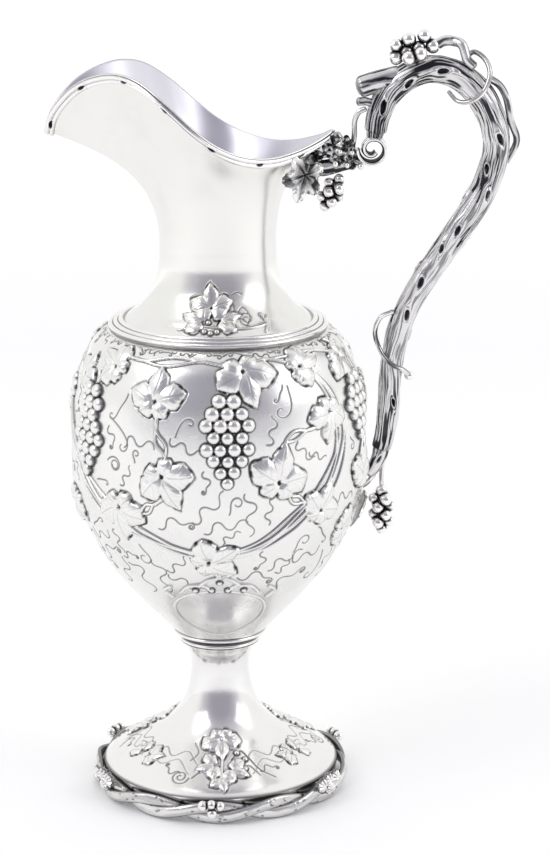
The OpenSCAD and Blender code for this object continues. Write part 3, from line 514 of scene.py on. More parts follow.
def decorate_body(rel):
    """The wreath of stems, then its leaves, bunches and tendrils, and the bare oval."""
    for base in (0, 180):
        for path, offsets in WREATH:
            bundle(rel, [(a + base, z) for a, z in path], offsets)
        for off in (0, 3):
            rel.lines(base + off, [SIDE_STEM], 0.9, 1.3, 1.0, 1.1)
    for leaf in LEAVES:
        rel.leaf(*leaf)
    for base in (0, 180):
        for a, top, rows in BUNCHES:
            grape_bunch(rel, a + base, top, rows)
    for k in range(4):
        rel.fill(-90, 270, VINE_LOW + 2 * k, VINE_TOP, 5.5, 23 - 3.6 * k, 15 + k)
    draw = np.random.default_rng(3)
    for a in range(0, 360, 5):
        z, size, turn, kind, bend = draw.uniform((245.8, 6, 55, 0, -0.7), (247.8, 9.5, 125, 2, 0.7))
        rel.curl(a, z, size, turn, 2 * int(kind), 0.55, -0.3, 0.95, bend)
    # the bare oval, with a scrolled crest, between the body's foot and the vine
    q = np.linspace(0, 2 * math.pi, 33)
    for base in (0, 180):
        ix = rel.window(base, OVAL_Z, 40)[0]
        dz = (rel.z[ix[0]] - OVAL_Z) / OVAL_H
        da = (rel.az[ix[1]] - base + 180) % 360 - 180
        e = np.hypot(da / (OVAL_W * (1 - 0.1 * dz)), dz)
        inside = e < 0.97
        rel.h[ix] = np.where(inside, 1.1 * (1 - smooth(e, 0.0, 0.98) ** 2) + 0.3, rel.h[ix])
        rel.t[ix] = np.where(inside, 0.0, rel.t[ix])
        az = base + OVAL_W * np.cos(q) * (1 - 0.1 * np.sin(q))
        rel.line(np.column_stack([az, OVAL_Z + OVAL_H * np.sin(q)]), 0.9, 0.9, 0.5, 0.5, steps=3)
        rel.lines(base, OVAL_CREST, 1.0, 1.4, 0.6, 0.5)
        for a, z in CREST_BEADS:
            rel.grape(a + base, z, 1.5, 0.3)


def sunk_ground(az):
    """How far the ground lies below the body's outline, a little more round the front and back bunches."""
    h = ((BODY_LINE[:, 1] - BODY_Z) / BODY_H)[:, None]
    zone = smooth(h, 0.2, 0.39) * smooth(-h, -0.98, -0.89)
    off = (az[None, :] - 3.2 + 90) % 180 - 90
    dish = np.exp(-(off / 17) ** 2 - ((h - 0.737) / 0.18) ** 2)
    return zone * (GROUND + 0.5 * dish)


def make_body():
    """The chased wall as one mesh, and the inside with the rim and the bottom as another."""
    az, pts, nrm = revolve(BODY_LINE, BODY_COLS)
    r, z = BODY_LINE.T
    rel = Relief(az, arc(BODY_LINE), r, z)
    decorate_body(rel)
    soft = noise2(np.radians(az)[None, :] * 9 + 40, rel.s[:, None] / 9, 3) * 0.05
    fade = (smooth(rel.s, 0, 3) * smooth(rel.s[-1] - rel.s, 6, 9))[:, None]
    outer = pts + ((rel.h + soft) * fade - sunk_ground(az))[..., None] * nrm
    reach = np.hypot(outer[..., 0], outer[..., 1])
    outer[..., :2] *= np.minimum(1, (BODY_R + PROUD) / reach)[..., None]
    piece("Body", "body_silver", outer, quads(BODY_ROWS, BODY_COLS), rel.t * fade)
    t = unit(np.gradient(BODY_LINE, axis=0))
    deep = WALL + (GROUND + 0.7) * smooth(z, 112, 140) * smooth(-z, -247, -238)
    inner = np.stack([r - deep * t[:, 1], z + WALL * t[:, 0]], 1)
    inner = inner[inner[:, 1] < THROAT_Z - 0.4][::-15]
    inner = inner[inner[:, 1] > BODY_Z + 1.3]
    inner = np.vstack([[THROAT_R - WALL, THROAT_Z], inner, [BODY_FOOT_R - 1, BODY_Z + 1], [0.4, BODY_Z + 1]])
    bottom = [[0.4, BODY_Z], [BODY_FOOT_R, BODY_Z]]
    rim = [[THROAT_R, THROAT_Z], [THROAT_R - WALL, THROAT_Z]]
    v, f, t = joined([plain_wall(line, INSIDE_COLS) for line in (inner, bottom, rim)])
    place(mesh("Body_inside", v, f, [SHADED_INSIDE_SILVER], t), "body_silver")


# The neck, the spout and the lip
MOUTH_LEN = BACK + SPOUT
RIM_HALF = [(BACK - a * MOUTH_LEN, b * MOUTH_W / 2, LIP_Z + c * CREST) for a, b, c in RIM_SHARES]
RIM = RIM_HALF + [(x, -y, z) for x, y, z in RIM_HALF[-2:0:-1]]
NECK_LINE = [[NECK_R + a * (THROAT_R - NECK_R), THROAT_Z + b * NECK_H] for a, b in NECK_SHARES]


def spout_rows(p, shares):
    """Rows of the wall between the neck's narrowest place and the lip points p."""
    a = np.arctan2(p[:, 1], p[:, 0])
    q = np.stack([NECK_R * np.cos(a), NECK_R * np.sin(a), np.full_like(a, NECK_Z)], 1)
    d = p - q
    tip = np.clip(-np.cos(a), 0, None) ** 12
    start = np.array([0, 0, 1.1 * 2 * LIP_RISE])
    end = np.stack([1.6 * d[:, 0], 1.6 * d[:, 1], (0.9 * (1 - tip) + 0.55 * tip) * d[:, 2]], 1)
    s = np.asarray(shares)[:, None, None]
    return ((2 * s ** 3 - 3 * s ** 2 + 1) * q + (s ** 3 - 2 * s ** 2 + s) * start
            + (3 * s ** 2 - 2 * s ** 3) * p + (s ** 3 - s ** 2) * end)


def neck_surface(cols, low_rows, high_rows):
    """Angles round the neck, its outline below, and points and normals of the wall up to the lip."""
    p = ring_spline(RIM, cols)
    a = np.arctan2(p[:, 1], p[:, 0])
    low = even(NECK_LINE, low_rows)
    low_pts = np.stack([low[:, :1] * np.cos(a), low[:, :1] * np.sin(a), low[:, 1:] * np.ones(cols)], -1)
    pts = np.concatenate([low_pts, spout_rows(p, np.linspace(0, 1, high_rows + 1)[1:])])
    around = (np.roll(pts, -1, 1) - np.roll(pts, 1, 1)) / 2
    return a, low, pts, unit(np.cross(around, np.gradient(pts, axis=0)))


NECK_CURLS = [
    [(-18, 256.5), (-13, 258.5), (-9, 262), (-8, 266)],
    [(20, 257), (24, 261), (20, 265), (15, 262), (19, 259)],
    [(12, 271), (17, 272), (21, 271)], [(10, 268), (13, 266), (12, 263)]]
NECK_STEM = [(-26, 255), (-14, 257), (2, 256.5), (18, 256), (34, 257), (38, 260)]
NECK_BUD = [(31, 254), (35, 257.5), (33, 261)]


def decorate_neck(rel):
    """A sprig of three leaves over the shoulder ring, front and back, with curls beside it."""
    for base in (0, 180):
        rel.lines(base, NECK_CURLS, 0.4, -0.28, 0.9)
        rel.spiral(21 + base, 260, 4.2, 1.7, 1, 180, 0.4, -0.28, 0.9)
        rel.spiral(-17 + base, 260, 3.0, 1.4, -1, 180, 0.4, -0.28, 0.8)
        rel.lines(base, [NECK_STEM], 0.7, 0.7, 0.7, 0.5)
        rel.leaf(-6 + base, 267.5, 11, -4, 1.4, 41, True)
        rel.leaf(-15 + base, 259.5, 9.5, -72, 1.3, 42, True)
        rel.leaf(5 + base, 260, 9.5, 74, 1.3, 43, True)
        for a, z in ((-9, 255), (-5, 254.4), (-1, 255), (-7, 258.5)):
            rel.grape(a + base, z, 1.4, 0.4)
        rel.lines(base, [NECK_BUD], 0.9, 0.9, 0.7, 0.6)


def make_neck():
    """The neck and spout as one closed shell, its inside in a darker, greyer silver of its own that paints
    the shade inside.
    """
    a, low, pts, nrm = neck_surface(NECK_COLS, NECK_ROWS, SPOUT_ROWS)
    rows = NECK_ROWS + SPOUT_ROWS
    # above its narrowest place the wall has no chasing, so its rows only need places of their own
    above = np.arange(1, SPOUT_ROWS + 1) * 0.6
    s = arc(low)
    s = np.concatenate([s, s[-1] + above])
    r = np.concatenate([low[:, 0], np.full(SPOUT_ROWS, NECK_R)])
    rel = Relief(np.degrees(a) + 90, s, r, np.concatenate([low[:, 1], low[-1, 1] + above]))
    decorate_neck(rel)
    fade = smooth(s, 2.2, 4.5)[:, None]
    outer = pts + (rel.h * fade)[..., None] * nrm
    inner = pts - WALL * nrm
    inner[0] = np.stack([(THROAT_R - WALL) * np.cos(a), (THROAT_R - WALL) * np.sin(a),
                         np.full_like(a, THROAT_Z)], 1)
    inner = inner[np.r_[0:NECK_ROWS:3, NECK_ROWS:rows:2, rows - 1]][::-1]
    v = np.concatenate([outer, inner])
    f = quads(len(v), NECK_COLS, closed_rows=True)
    t = np.concatenate([rel.t * fade, np.zeros((len(inner), NECK_COLS))])
    is_inside = np.zeros(len(f), np.int32)
    is_inside[rows * NECK_COLS:-NECK_COLS] = 1
    piece("Neck_and_spout", "neck_silver", v, f, t, mat_ids=is_inside)


TIES = 14


def make_lip():
    """Two reeds round the mouth, bound by slanting ties."""
    a, low, pts, nrm = neck_surface(LIP_COLS, 6, 60)
    n, edge = nrm[-1], pts[-1]
    down = unit(pts[-2] - edge)
    s = arc(edge)
    q = np.linspace(0, 1, LIP_ROWS)
    reed = np.sqrt(np.abs(np.sin(q * math.pi * 2)))
    d = q[:, None] * BAND_H
    w = (0.25 + 1.15 * reed)[:, None]
    # Dark in the groove between the reeds, and a painted shadow line along the band's top and bottom edges.
    t = ((1 - smooth(reed, 0.15, 0.6)) * 0.85)[:, None]
    for c in np.arange(TIES) * s[-1] / TIES + 6:
        along, across = s[None, :] - c, d - BAND_H / 2
        e = np.hypot((along + 0.5 * across) / 2.3, across / 1.1)
        w = w - 0.5 * (1 - smooth(e, 0.6, 1.0))
        t = np.maximum(t, 1 - smooth(e, 0.7, 1.1))
        band = 1 - smooth(np.abs(np.abs(along + 0.5 * across) - 3.0), 0.2, 0.45)
        w = w + 0.15 * band
        t = np.maximum(t * (1 - 0.7 * band), 0.6 * smooth(band, 0.05, 0.3) * (1 - smooth(band, 0.3, 0.7)))
    base = edge + SEAT * n
    ring = base + down * d[..., None] + n * w[..., None]
    back = base + down * np.array([BAND_H, 0])[:, None, None]
    v = np.concatenate([ring, back])
    t = np.concatenate([t, np.full((2, LIP_COLS), 0.9)])
    piece("Lip_moulding", "moulding_silver", v, quads(len(v), LIP_COLS, closed_rows=True), t)


# Spun pieces
def spun(name, slot, line, cols, dark):
    """A solid ring turned from a closed outline, with the tarnish of each of its points."""
    pts = revolve(line, cols)[1]
    piece(name, slot, pts, quads(len(line), cols, closed_rows=True), np.repeat(dark, cols))


def make_base_ring():
    r, w, h, c = FOOT_R, BASE_W, BASE_H, 0.4
    line = [[r - w + c, 0], [r - c, 0], [r, c], [r, h], [r - w, h], [r - w, c]]
    spun("Base_ring", "foot_silver", line, SPUN_COLS, np.zeros(len(line)))


def make_shoulder_ring():
    """Three half-round reeds, side by side over the seam of the body and the neck."""
    low = spline(BODY_POINTS, [len(BODY_POINTS) - 1.5])[0]
    end = np.array([THROAT_R, THROAT_Z])
    d = unit(end - low)
    n = np.array([d[1], -d[0]])
    r, pitch, sunk = 1.3, 2.9, 0.9
    middle = low * 0.32 + end * 0.68 + 1.55 * n
    centres = [middle + (k - 1) * pitch * d for k in range(3)]
    pts, dark = [centres[0] - 1.2 * r * d - sunk * n], [0.5]
    for c in centres:
        for q in np.linspace(-math.pi / 2, math.pi / 2, 14):
            pts.append(c + r * (math.cos(q) * n + math.sin(q) * d))
            dark.append(0.5 * (1 - smooth(math.cos(q), 0.18, 0.6)))
    pts.append(centres[-1] + 1.2 * r * d - sunk * n)
    dark.append(0.5)
    spun("Shoulder_ring", "moulding_silver", pts, 360, dark)


def make_collar():
    """A collar with a bead at its foot, a flare and a larger bead at its top."""
    bore = STEM_R - 3
    rows = [(bore, STEM_H, 0)]
    arch = np.linspace(-math.pi / 2, math.pi / 2, 12)
    for r, z, bead in ((STEM_R - 0.6, STEM_H + 1.0, 0.9), (COLLAR_R - 0.9, BODY_Z - 1.25, 0.95)):
        for q in arch:
            rows.append((r + bead * math.cos(q), z + bead * math.sin(q), 1 - smooth(math.cos(q), 0.15, 0.5)))
        if z < STEM_H + 2:
            for q in np.linspace(0, 1, 12):
                rows.append((STEM_R - 0.9 + 2.4 * q ** 1.6, STEM_H + 2.1 + 2.4 * q,
                             0.8 * (1 - smooth(q, 0, 0.25))))
    rows += [(COLLAR_R - 1.4, BODY_Z, 1), (bore, BODY_Z, 0)]
    rows = np.array(rows, float)
    spun("Stem_collar", "foot_silver", rows[:, :2], SPUN_COLS, rows[:, 2])


# The foot
FOOT_POINTS = [[WAIST_R + a * (FOOT_R - WAIST_R), SKIRT_H + b * (WAIST_H - SKIRT_H)] for a, b in FOOT_SHARES]
FOOT_POINTS += [[WAIST_R + a * (STEM_R - WAIST_R), WAIST_H + b * (STEM_H - WAIST_H)] for a, b in STEM_SHARES]
FOOT_LINE = even(FOOT_POINTS, FOOT_ROWS)
FOOT_WAVE = [(16, 23), (27, 27), (38, 24.5), (49, 26.5), (58, 21)]
# Engraved curls: width, height and tarnish, then points of azimuth and z
FOOT_CURLS = [
    (0.45, -0.28, 0.9, [(-17, 18.6), (-12, 21), (-7, 20)]),
    (0.5, -0.32, 0.95, [(8, 25), (16, 27.5), (21, 25), (25, 21), (32, 17.5)]),
    (0.45, -0.28, 0.85, [(13, 21), (19, 22.5), (24, 19)]),
    (0.45, -0.28, 0.7, [(-24, 30), (-18, 27), (-22, 24)])]
FOOT_LEAVES = [(1, 30, 11, 180, 1.5, 51, False), (-7, 22.5, 9, -110, 1.4, 52, True),
               (9, 21, 9, 120, 1.4, 53, True), (1, 17.5, 7, 170, 1.2, 54, True)]


def decorate_foot(rel):
    """Three groups of leaves with a spiral and curls, and waves between them."""
    for base in range(0, 360, 120):
        for side in (-1, 1):
            wave = [(side * a + base, z) for a, z in FOOT_WAVE]
            rel.line(wave, 0.42, -0.3, 0.7, steps=12)
            rel.line([(a + 4 * side, z - 3.2) for a, z in wave[:4]], 0.4, -0.28, 0.6, steps=12)
            rel.leaf(base + 60 + 8 * side, 22.5, 7.5, 70 * side, 0.9, 54 + side, True)
            rel.curl(base + 33 * side, 20.5, 12, 80 * side, 1)
        rel.spiral(base - 24, 18.6, 5.0, 1.8, 1, 90, 0.45, -0.3, 0.9)
        for width, height, dark, path in FOOT_CURLS:
            rel.lines(base, [path], width, height, dark)
        rel.lines(base, [[(1, 35), (2, 30), (1, 24), (0, 16)]], 0.9, 1.0, 0.8, 0.5)
        for a, *look in FOOT_LEAVES:
            rel.leaf(a + base, *look)
        for a, z in ((18, 24.5), (13, 26.8), (-10, 24), (16, 21.5)):
            rel.grape(a + base, z, 1.5, 0.2)


def make_foot():
    """The chased skirt and stem, closed by a plain inside."""
    az, pts, nrm = revolve(FOOT_LINE, FOOT_COLS)
    rel = Relief(az, arc(FOOT_LINE), *FOOT_LINE.T)
    decorate_foot(rel)
    fade = (smooth(rel.s, 0.5, 2.5) * smooth(rel.s[-1] - rel.s, 1, 4))[:, None]
    outer = pts + (rel.h * fade)[..., None] * nrm
    # Painted shade along the foot of the skirt, behind the vine strands.
    dark = np.maximum(rel.t * fade, (1 - smooth(rel.s, 0.5, 2.0))[:, None] * 0.8)
    t = unit(np.gradient(FOOT_LINE, axis=0))
    inner = FOOT_LINE - WALL * np.stack([t[:, 1], -t[:, 0]], 1)
    inner = inner[inner[:, 1] < STEM_H - 1.5][::-7]
    inner = np.vstack([[STEM_R - WALL, STEM_H], inner, [FOOT_R - WALL, SKIRT_H - WALL],
                       [FOOT_R - WALL, BASE_H], [FOOT_R, BASE_H], [FOOT_R, SKIRT_H]])
    shell = (outer.reshape(-1, 3), quads(FOOT_ROWS, FOOT_COLS), dark)
    piece("Pedestal_foot", "foot_silver", *joined([shell, plain_wall(inner, FOOT_INSIDE_COLS)]))


# The vine border of the foot
STRAND_W, STRAND_H, WEAVE_R, WEAVE_H = 1.4, 2.7, 1.5, 2.9
TURNS, FIRST_CLUSTER, FOOT_GRAPE_R = 6, -94, 2.4
STRAND_R = FOOT_R + SEAT + STRAND_W + WEAVE_R
STRAND_Z = 0.25 * BASE_H + STRAND_H + WEAVE_H


def make_strand(name, phase, seed):
    """One strand of smooth bark with small scars, with a painted shadow where it passes under the other and
    painted shade on its inner side and edges.
    """
    a = circle(STRAND_ROWS)
    b = circle(STRAND_SIDES)
    w = TURNS * (a - math.radians(FIRST_CLUSTER)) + math.radians(phase)
    cr, cz = STRAND_R - WEAVE_R * np.sin(w), STRAND_Z + WEAVE_H * np.cos(w)
    s = a[:, None] * STRAND_R
    grain = noise2(b[None, :] * 14 / (2 * np.pi) + 0.6 * noise2(s / 6, s * 0, seed), s / 11, seed, wrap=14)
    fine = noise2(b[None, :] * 30 / (2 * np.pi), s / 6, seed + 1, wrap=30)
    h = 0.10 * grain + 0.06 * fine
    dark = smooth(-grain, 0.45, 0.95) * 0.30 + smooth(-fine, 0.7, 1.0) * 0.25
    draw = np.random.default_rng(seed)
    for _ in range(70):
        s0, b0 = draw.uniform(0, 2 * np.pi * STRAND_R), draw.uniform(-1.3, 1.3)
        db = ((b[None, :] - b0 + np.pi) % (2 * np.pi) - np.pi) * STRAND_H
        e = np.hypot((s - s0) / 1.25, db / 0.5)
        h = h + 0.12 * np.exp(-((e - 1.15) / 0.3) ** 2) - 0.18 * (e < 0.8)
        dark = np.maximum(dark, 0.85 * (1 - smooth(e, 0.55, 0.95)))
    # Painted shadow where the strand passes under the other, painted shade on its inner side and along its
    # top and bottom, and a tone that follows the grain.
    under = smooth(np.sin(w), 0.35, 0.95)[:, None]
    cross = smooth(np.abs(np.cos(w)), 0.35, 0.0)[:, None]
    inner = 0.85 * smooth(-np.cos(b), 0.1, 0.9)[None, :]
    edge = np.maximum(smooth(np.sin(b), 0.72, 0.98), smooth(-np.sin(b), 0.45, 0.95))[None, :]
    for shade in (under * cross, inner, 0.75 * edge, 0.12 + 0.25 * smooth(grain, -0.3, 0.6)):
        dark = np.maximum(dark, shade)
    r = cr[:, None] + (STRAND_W + 0.1 + h) * np.cos(b)[None, :]
    z = cz[:, None] + (STRAND_H + 0.35 + h) * np.sin(b)[None, :]
    v = np.stack([r * np.cos(a)[:, None], r * np.sin(a)[:, None], z], -1)
    piece(name, "vine_silver", v, quads(STRAND_ROWS, STRAND_SIDES, closed_rows=True), dark)


def ball(centre, r, others=(), other_r=0.0, rows=18, cols=30):
    """A grape, with painted shade where it meets the others."""
    th = np.linspace(0, np.pi, rows)
    ph = circle(cols)
    d = np.stack([np.sin(th)[:, None] * np.cos(ph), np.sin(th)[:, None] * np.sin(ph),
                  np.cos(th)[:, None] * np.ones(cols)], -1)
    v = (np.asarray(centre) + r * d).reshape(-1, 3)
    dark = np.zeros(len(v))
    # Painted shade on the grape near each of the others.
    for c in others:
        gap = np.linalg.norm(v - np.asarray(c), axis=1) - other_r
        dark = np.maximum(dark, 1 - smooth(gap, 0.15 * r, 0.6 * r))
    return v, quads(rows, cols), dark


def cluster(name, centres, r, node=None):
    """A cluster of grapes, each with painted shade where it meets the others."""
    centres = list(centres)
    balls = [ball(c, r * (1 - 0.04 * (i % 3)), centres[:i] + centres[i + 1:], r)
             for i, c in enumerate(centres)]
    piece(name, "grape_silver", *joined(balls), node)


def turned(p, degrees):
    """Points turned about the vertical axis."""
    a = math.radians(degrees)
    p = np.asarray(p, float)
    return np.stack([p[..., 0] * math.cos(a) - p[..., 1] * math.sin(a),
                     p[..., 0] * math.sin(a) + p[..., 1] * math.cos(a), p[..., 2]], -1)


def ruffled_leaf(centre, size, seed):
    """A small cast leaf that stands off the foot, its face along +X, with ribs and a wavy edge."""
    th = circle(64)
    q = np.linspace(0, 1, 14)[:, None]
    lobe = 0.78 + 0.22 * np.abs(np.cos(1.5 * th + seed))
    ripple = 1 + 0.05 * np.cos(13 * th + seed)
    y = q * size * lobe * ripple * np.sin(th)
    z = q * size * 0.82 * lobe * ripple * np.cos(th)
    rib = np.cos(9 * th + 0.4 * seed)
    x = size * (0.42 * (1 - q ** 2) + 0.10 * q * rib + 0.10 * q * np.cos(3 * th + seed))
    face = np.stack([x + 0 * th, y, z], -1)
    dark = np.maximum(0.75 * smooth(-rib, 0.45, 0.95) * smooth(q, 0.15, 0.4), smooth(q, 0.93, 1.0))
    face = face + np.asarray(centre)
    return leaf_solid(face, face - np.array([0.34 * size, 0, 0]), dark, 0.3)


def make_foot_clusters():
    """Round the foot's rim, clusters of four grapes in turn with bunches of four leaves."""
    pitch = 1.86 * FOOT_GRAPE_R
    out = FOOT_R + SEAT + 2 * STRAND_W + WEAVE_R + SEAT + FOOT_GRAPE_R
    row_z = STRAND_Z + WEAVE_H + 1.2 * STRAND_H
    grapes = [[out, -pitch, row_z - 1.0], [out + 0.1, 0, row_z - 0.4], [out, pitch, row_z - 1.0],
              [out + 0.8, 0.3, row_z - 1.05 * pitch]]
    leaves = [(-1.5 * pitch, -0.6, 4.8), (1.4 * pitch, 0.2, 4.8), (0.2 * pitch, -0.9 * pitch, 4.4),
              (-0.1 * pitch, 0.8, 4.6)]
    for k in range(TURNS):
        name, node = "Foot_cluster_%d" % (k + 1), "foot_grapes_%d" % (k + 1)
        turn = FIRST_CLUSTER + 60 * k
        if k % 2 == 0:
            cluster(name, turned(grapes, turn), 1.12 * FOOT_GRAPE_R, node)
        else:
            parts = [ruffled_leaf([out - 1.0, y, row_z + z - 0.4], size, y + z) for y, z, size in leaves]
            piece(name, "leaf_silver", *joined([(turned(v, turn), f, t) for v, f, t in parts]), node)


# The handle's line and bark
HEEL_R = HANDLE_R * HANDLE_SHARES[0][2]
HEEL_X = BODY_R + HEEL_SPACE + HEEL_R
OUT_Z = LIP_Z + ARCH_RISE - ARCH_H
END_SHARE, OUT_SHARE = HANDLE_SHARES[-1][0], HANDLE_SHARES[OUT_INDEX][1]


def handle_point(i):
    a, b, c = HANDLE_SHARES[i]
    if i < OUT_INDEX:
        return [HEEL_X + a * REACH, 0, HEEL_Z + b / OUT_SHARE * (OUT_Z - HEEL_Z), c * HANDLE_R]
    end_x = BACK + BRACKET_RUN
    return [end_x + (a - END_SHARE) / (1 - END_SHARE) * (HEEL_X + REACH - end_x), 0,
            OUT_Z + (b - OUT_SHARE) / (1 - OUT_SHARE) * ARCH_H, c * HANDLE_R]


HANDLE_PTS = np.array([handle_point(i) for i in range(len(HANDLE_SHARES))])
LAST = len(HANDLE_PTS) - 1


def handle_at(t):
    return spline(HANDLE_PTS, np.asarray(t, float) * LAST)[..., :3]


def handle_r(t):
    return spline(HANDLE_PTS, np.asarray(t, float) * LAST)[..., 3]


def handle_dir(t):
    t = np.asarray(t, float)
    return unit(handle_at(np.minimum(1, t + 0.001)) - handle_at(np.maximum(0, t - 0.001)))


def beside(t, angle, away):
    """A point beside the branch: 0 degrees is outwards, 90 is the near side, 180 inwards."""
    d = handle_dir(t)
    a = math.radians(angle)
    out = math.cos(a) * np.array([d[2], 0, -d[0]]) + math.sin(a) * np.array([0, -1, 0])
    return handle_at(t) + away * out


def on_bark(t, angle, r, lift):
    return beside(t, angle, float(handle_r(t)) + SEAT + r + lift)


def bark_path(r, unit_lift, *stops):
    """Points on the bark for stops of share, angle and lift, the lift in the unit given."""
    return [on_bark(t, angle, r, lift * unit_lift) for t, angle, lift in stops]


# Knots of the bark: share of the branch, angle, size
KNOTS = [
    (0.768, 89, 1.0), (0.846, 112, 1.0), (0.9295, 96, 1.15), (0.5975, 80, 1.0), (0.5465, 119, 0.8),
    (0.508, 71, 0.9), (0.4375, 98, 1.0), (0.4025, 111, 0.8), (0.342, 103, 1.1), (0.284, 86, 1.0),
    (0.12, 75, 0.7), (0.80, 262, 1.0), (0.88, 250, 1.0), (0.63, 275, 0.9), (0.56, 246, 0.9),
    (0.48, 283, 1.0), (0.37, 255, 1.0), (0.31, 270, 0.9), (0.21, 262, 0.8), (0.09, 280, 0.7),
    (0.25, 12, 0.7), (0.43, 8, 0.8), (0.49, 172, 0.8), (0.66, 186, 0.9), (0.36, 182, 0.7)]


def bark(s, ang, r, seed, knots, scale, lines):
    """Height and tarnish of bark: streaks along the branch, which part round its knots."""
    turn = ang / (2 * np.pi)
    sway = 0.035 * noise2(turn * 5, s / 17, seed, wrap=5)
    sway = sway + 0.01 * noise2(turn * 11, s / 6, seed + 1, wrap=11)
    flow, pit, rim, swell = np.zeros((4,) + np.broadcast(s, ang).shape)
    for s0, a0, size in knots:
        ds = (s - s0) / size
        dc = ((ang - a0 + np.pi) % (2 * np.pi) - np.pi) * r / size - 0.22 * ds
        tail = np.where(ds < 0, 3.9, 2.5)
        e = np.hypot(ds / tail, dc / 1.35)
        pit = np.maximum(pit, 1 - smooth(e, 0.62, 1.0))
        rim = np.maximum(rim, np.exp(-((e - 1.25) / 0.22) ** 2))
        swell = np.maximum(swell, np.exp(-(e / 2.3) ** 2))
        flow = flow + 0.045 * np.tanh(dc * 1.5) * np.exp(-(e / 1.9) ** 2)
    x = turn + sway - flow
    streak = (0.3 * noise2(x * lines, s / 12, seed + 6, wrap=lines)
              + 0.62 * noise2(x * 2 * lines, s / 9, seed + 3, wrap=2 * lines))
    plank = noise2(x * 7, s / 26, seed + 2, wrap=7)
    lump = noise2(turn * 4, s / 17, seed + 5, wrap=4)
    h = scale * (0.25 - 0.42 * streak + 0.42 * plank + 0.30 * lump)
    h = h * (1 - 0.6 * rim) + scale * (0.55 * rim + 0.6 * swell - 1.9 * pit)
    dark = 0.06 + 0.9 * smooth(streak, -0.02, 0.26) + 0.3 * smooth(-plank, -0.05, 0.6)
    dark = np.maximum(dark * (1 - 0.8 * rim), pit)
    return h, np.clip(dark, 0, 1)


def rings(path, radius, angles, u, w):
    """Rings of points round a path, each at its own radius; u and w are the ways across the path."""
    cos, sin = np.cos(angles)[:, None], np.sin(angles)[:, None]
    return path[:, None] + radius[..., None] * (cos * u[:, None] + sin * w)


def make_handle():
    """The main branch: bark with knots, lighter along its lower part and darker on the arch."""
    t = np.linspace(0, 1, HANDLE_ROWS)
    centre, r, d = handle_at(t), handle_r(t), handle_dir(t)
    s = arc(centre)
    ang = circle(HANDLE_SIDES)
    knots = [(np.interp(k, t, s), math.radians(a), size) for k, a, size in KNOTS]
    mean_r, lines = 6.4, 40
    h, dark = bark(s[:, None], ang[None, :], mean_r, 5, knots, 1.0, lines)
    arch = smooth(t, 0.72, 0.9)[:, None]
    low = (smooth(t, 0.12, 0.22) * smooth(-t, -0.66, -0.5))[:, None]
    dark = np.where(dark < 0.97, dark * (1 - 0.35 * low), dark)
    dark = np.clip(dark + arch * (0.12 + 0.2 * (dark > 0.25)), 0, 1)
    ends = (smooth(s, 0, 2.5) * smooth(s[-1] - s, 0, 2.5))[:, None]
    worn = (1 - smooth(s, 0, 1.2) * smooth(s[-1] - s, 0, 1.2))[:, None] ** 2
    rr = r[:, None] + h * ends - 0.25 - 0.9 * worn
    u = np.stack([d[:, 2], 0 * t, -d[:, 0]], 1)
    p = rings(centre, rr, ang, u, np.array([0, -1, 0]))
    # closed ends: a sawn face at the heel and a rounded tongue towards the scroll
    shares = np.array([0.02, 0.38, 0.62, 0.86])
    start = centre[0] + (p[0] - centre[0])[None] * shares[:, None, None]
    tongue = np.array([[0.98, 0.8], [0.94, 1.8], [0.86, 2.8], [0.7, 3.8], [0.4, 4.5], [0.02, 4.7]])
    end = (centre[-1] + tongue[:, 1, None, None] * d[-1]
           + (p[-1] - centre[-1])[None] * tongue[:, 0, None, None])
    v = np.concatenate([start, p, end])
    cut = 0.25 + 0.55 * (np.cos(shares * 26) > 0)
    dark = np.concatenate([np.repeat(cut[:, None], HANDLE_SIDES, 1), dark, np.repeat(dark[-1:], len(end), 0)])
    piece("Handle_branch", "bark_silver", v, quads(len(v), HANDLE_SIDES), dark)


SCROLL_C = handle_at(1) + (SCROLL_R + SEAT) * handle_dir(1)
STRAP_R = 0.26 * SCROLL_R
# The strap's half thickness, as a share of STRAP_R, and how much fuller the scroll is than its solid
STRAP_SHARE, FULLER = 0.56, 1.09


def make_scroll():
    """A grooved strap that winds inwards and narrows."""
    f = np.linspace(0, 1, SCROLL_ROWS)
    a = math.pi + math.radians(500) * f
    r = SCROLL_R - STRAP_SHARE * STRAP_R + (1.5 * STRAP_R - SCROLL_R) * f ** 1.5
    w = SCROLL_W * (1 - 0.25 * f) / 2
    u = np.stack([np.cos(a), 0 * a, np.sin(a)], 1)
    c = r[:, None] * u
    b = circle(SCROLL_SIDES)
    groove = 0.12 * np.cos(3 * np.pi * np.sin(b))
    thick = STRAP_SHARE * STRAP_R * (1 + groove) * np.sign(np.cos(b)) * np.abs(np.cos(b)) ** 0.55
    v = (c[:, None] + thick[None, :, None] * u[:, None]
         + (w[:, None] * np.sin(b)[None, :])[..., None] * np.array([0, -1, 0]))
    v = np.concatenate([[c[0] + (v[0] - c[0]) * 0.05], v, [c[-1] + (v[-1] - c[-1]) * 0.05]])
    # Dark in the strap's grooves, and painted shade on its inner face inside the coil.
    dark = np.maximum(smooth(-groove, 0.03, 0.1) * 0.7 * (np.abs(np.sin(b)) < 0.85),
                      smooth(-np.cos(b), 0.15, 0.6))
    piece("Handle_scroll", "leaf_silver", SCROLL_C + FULLER * v, quads(len(v), SCROLL_SIDES),
          np.tile(dark, len(v)))


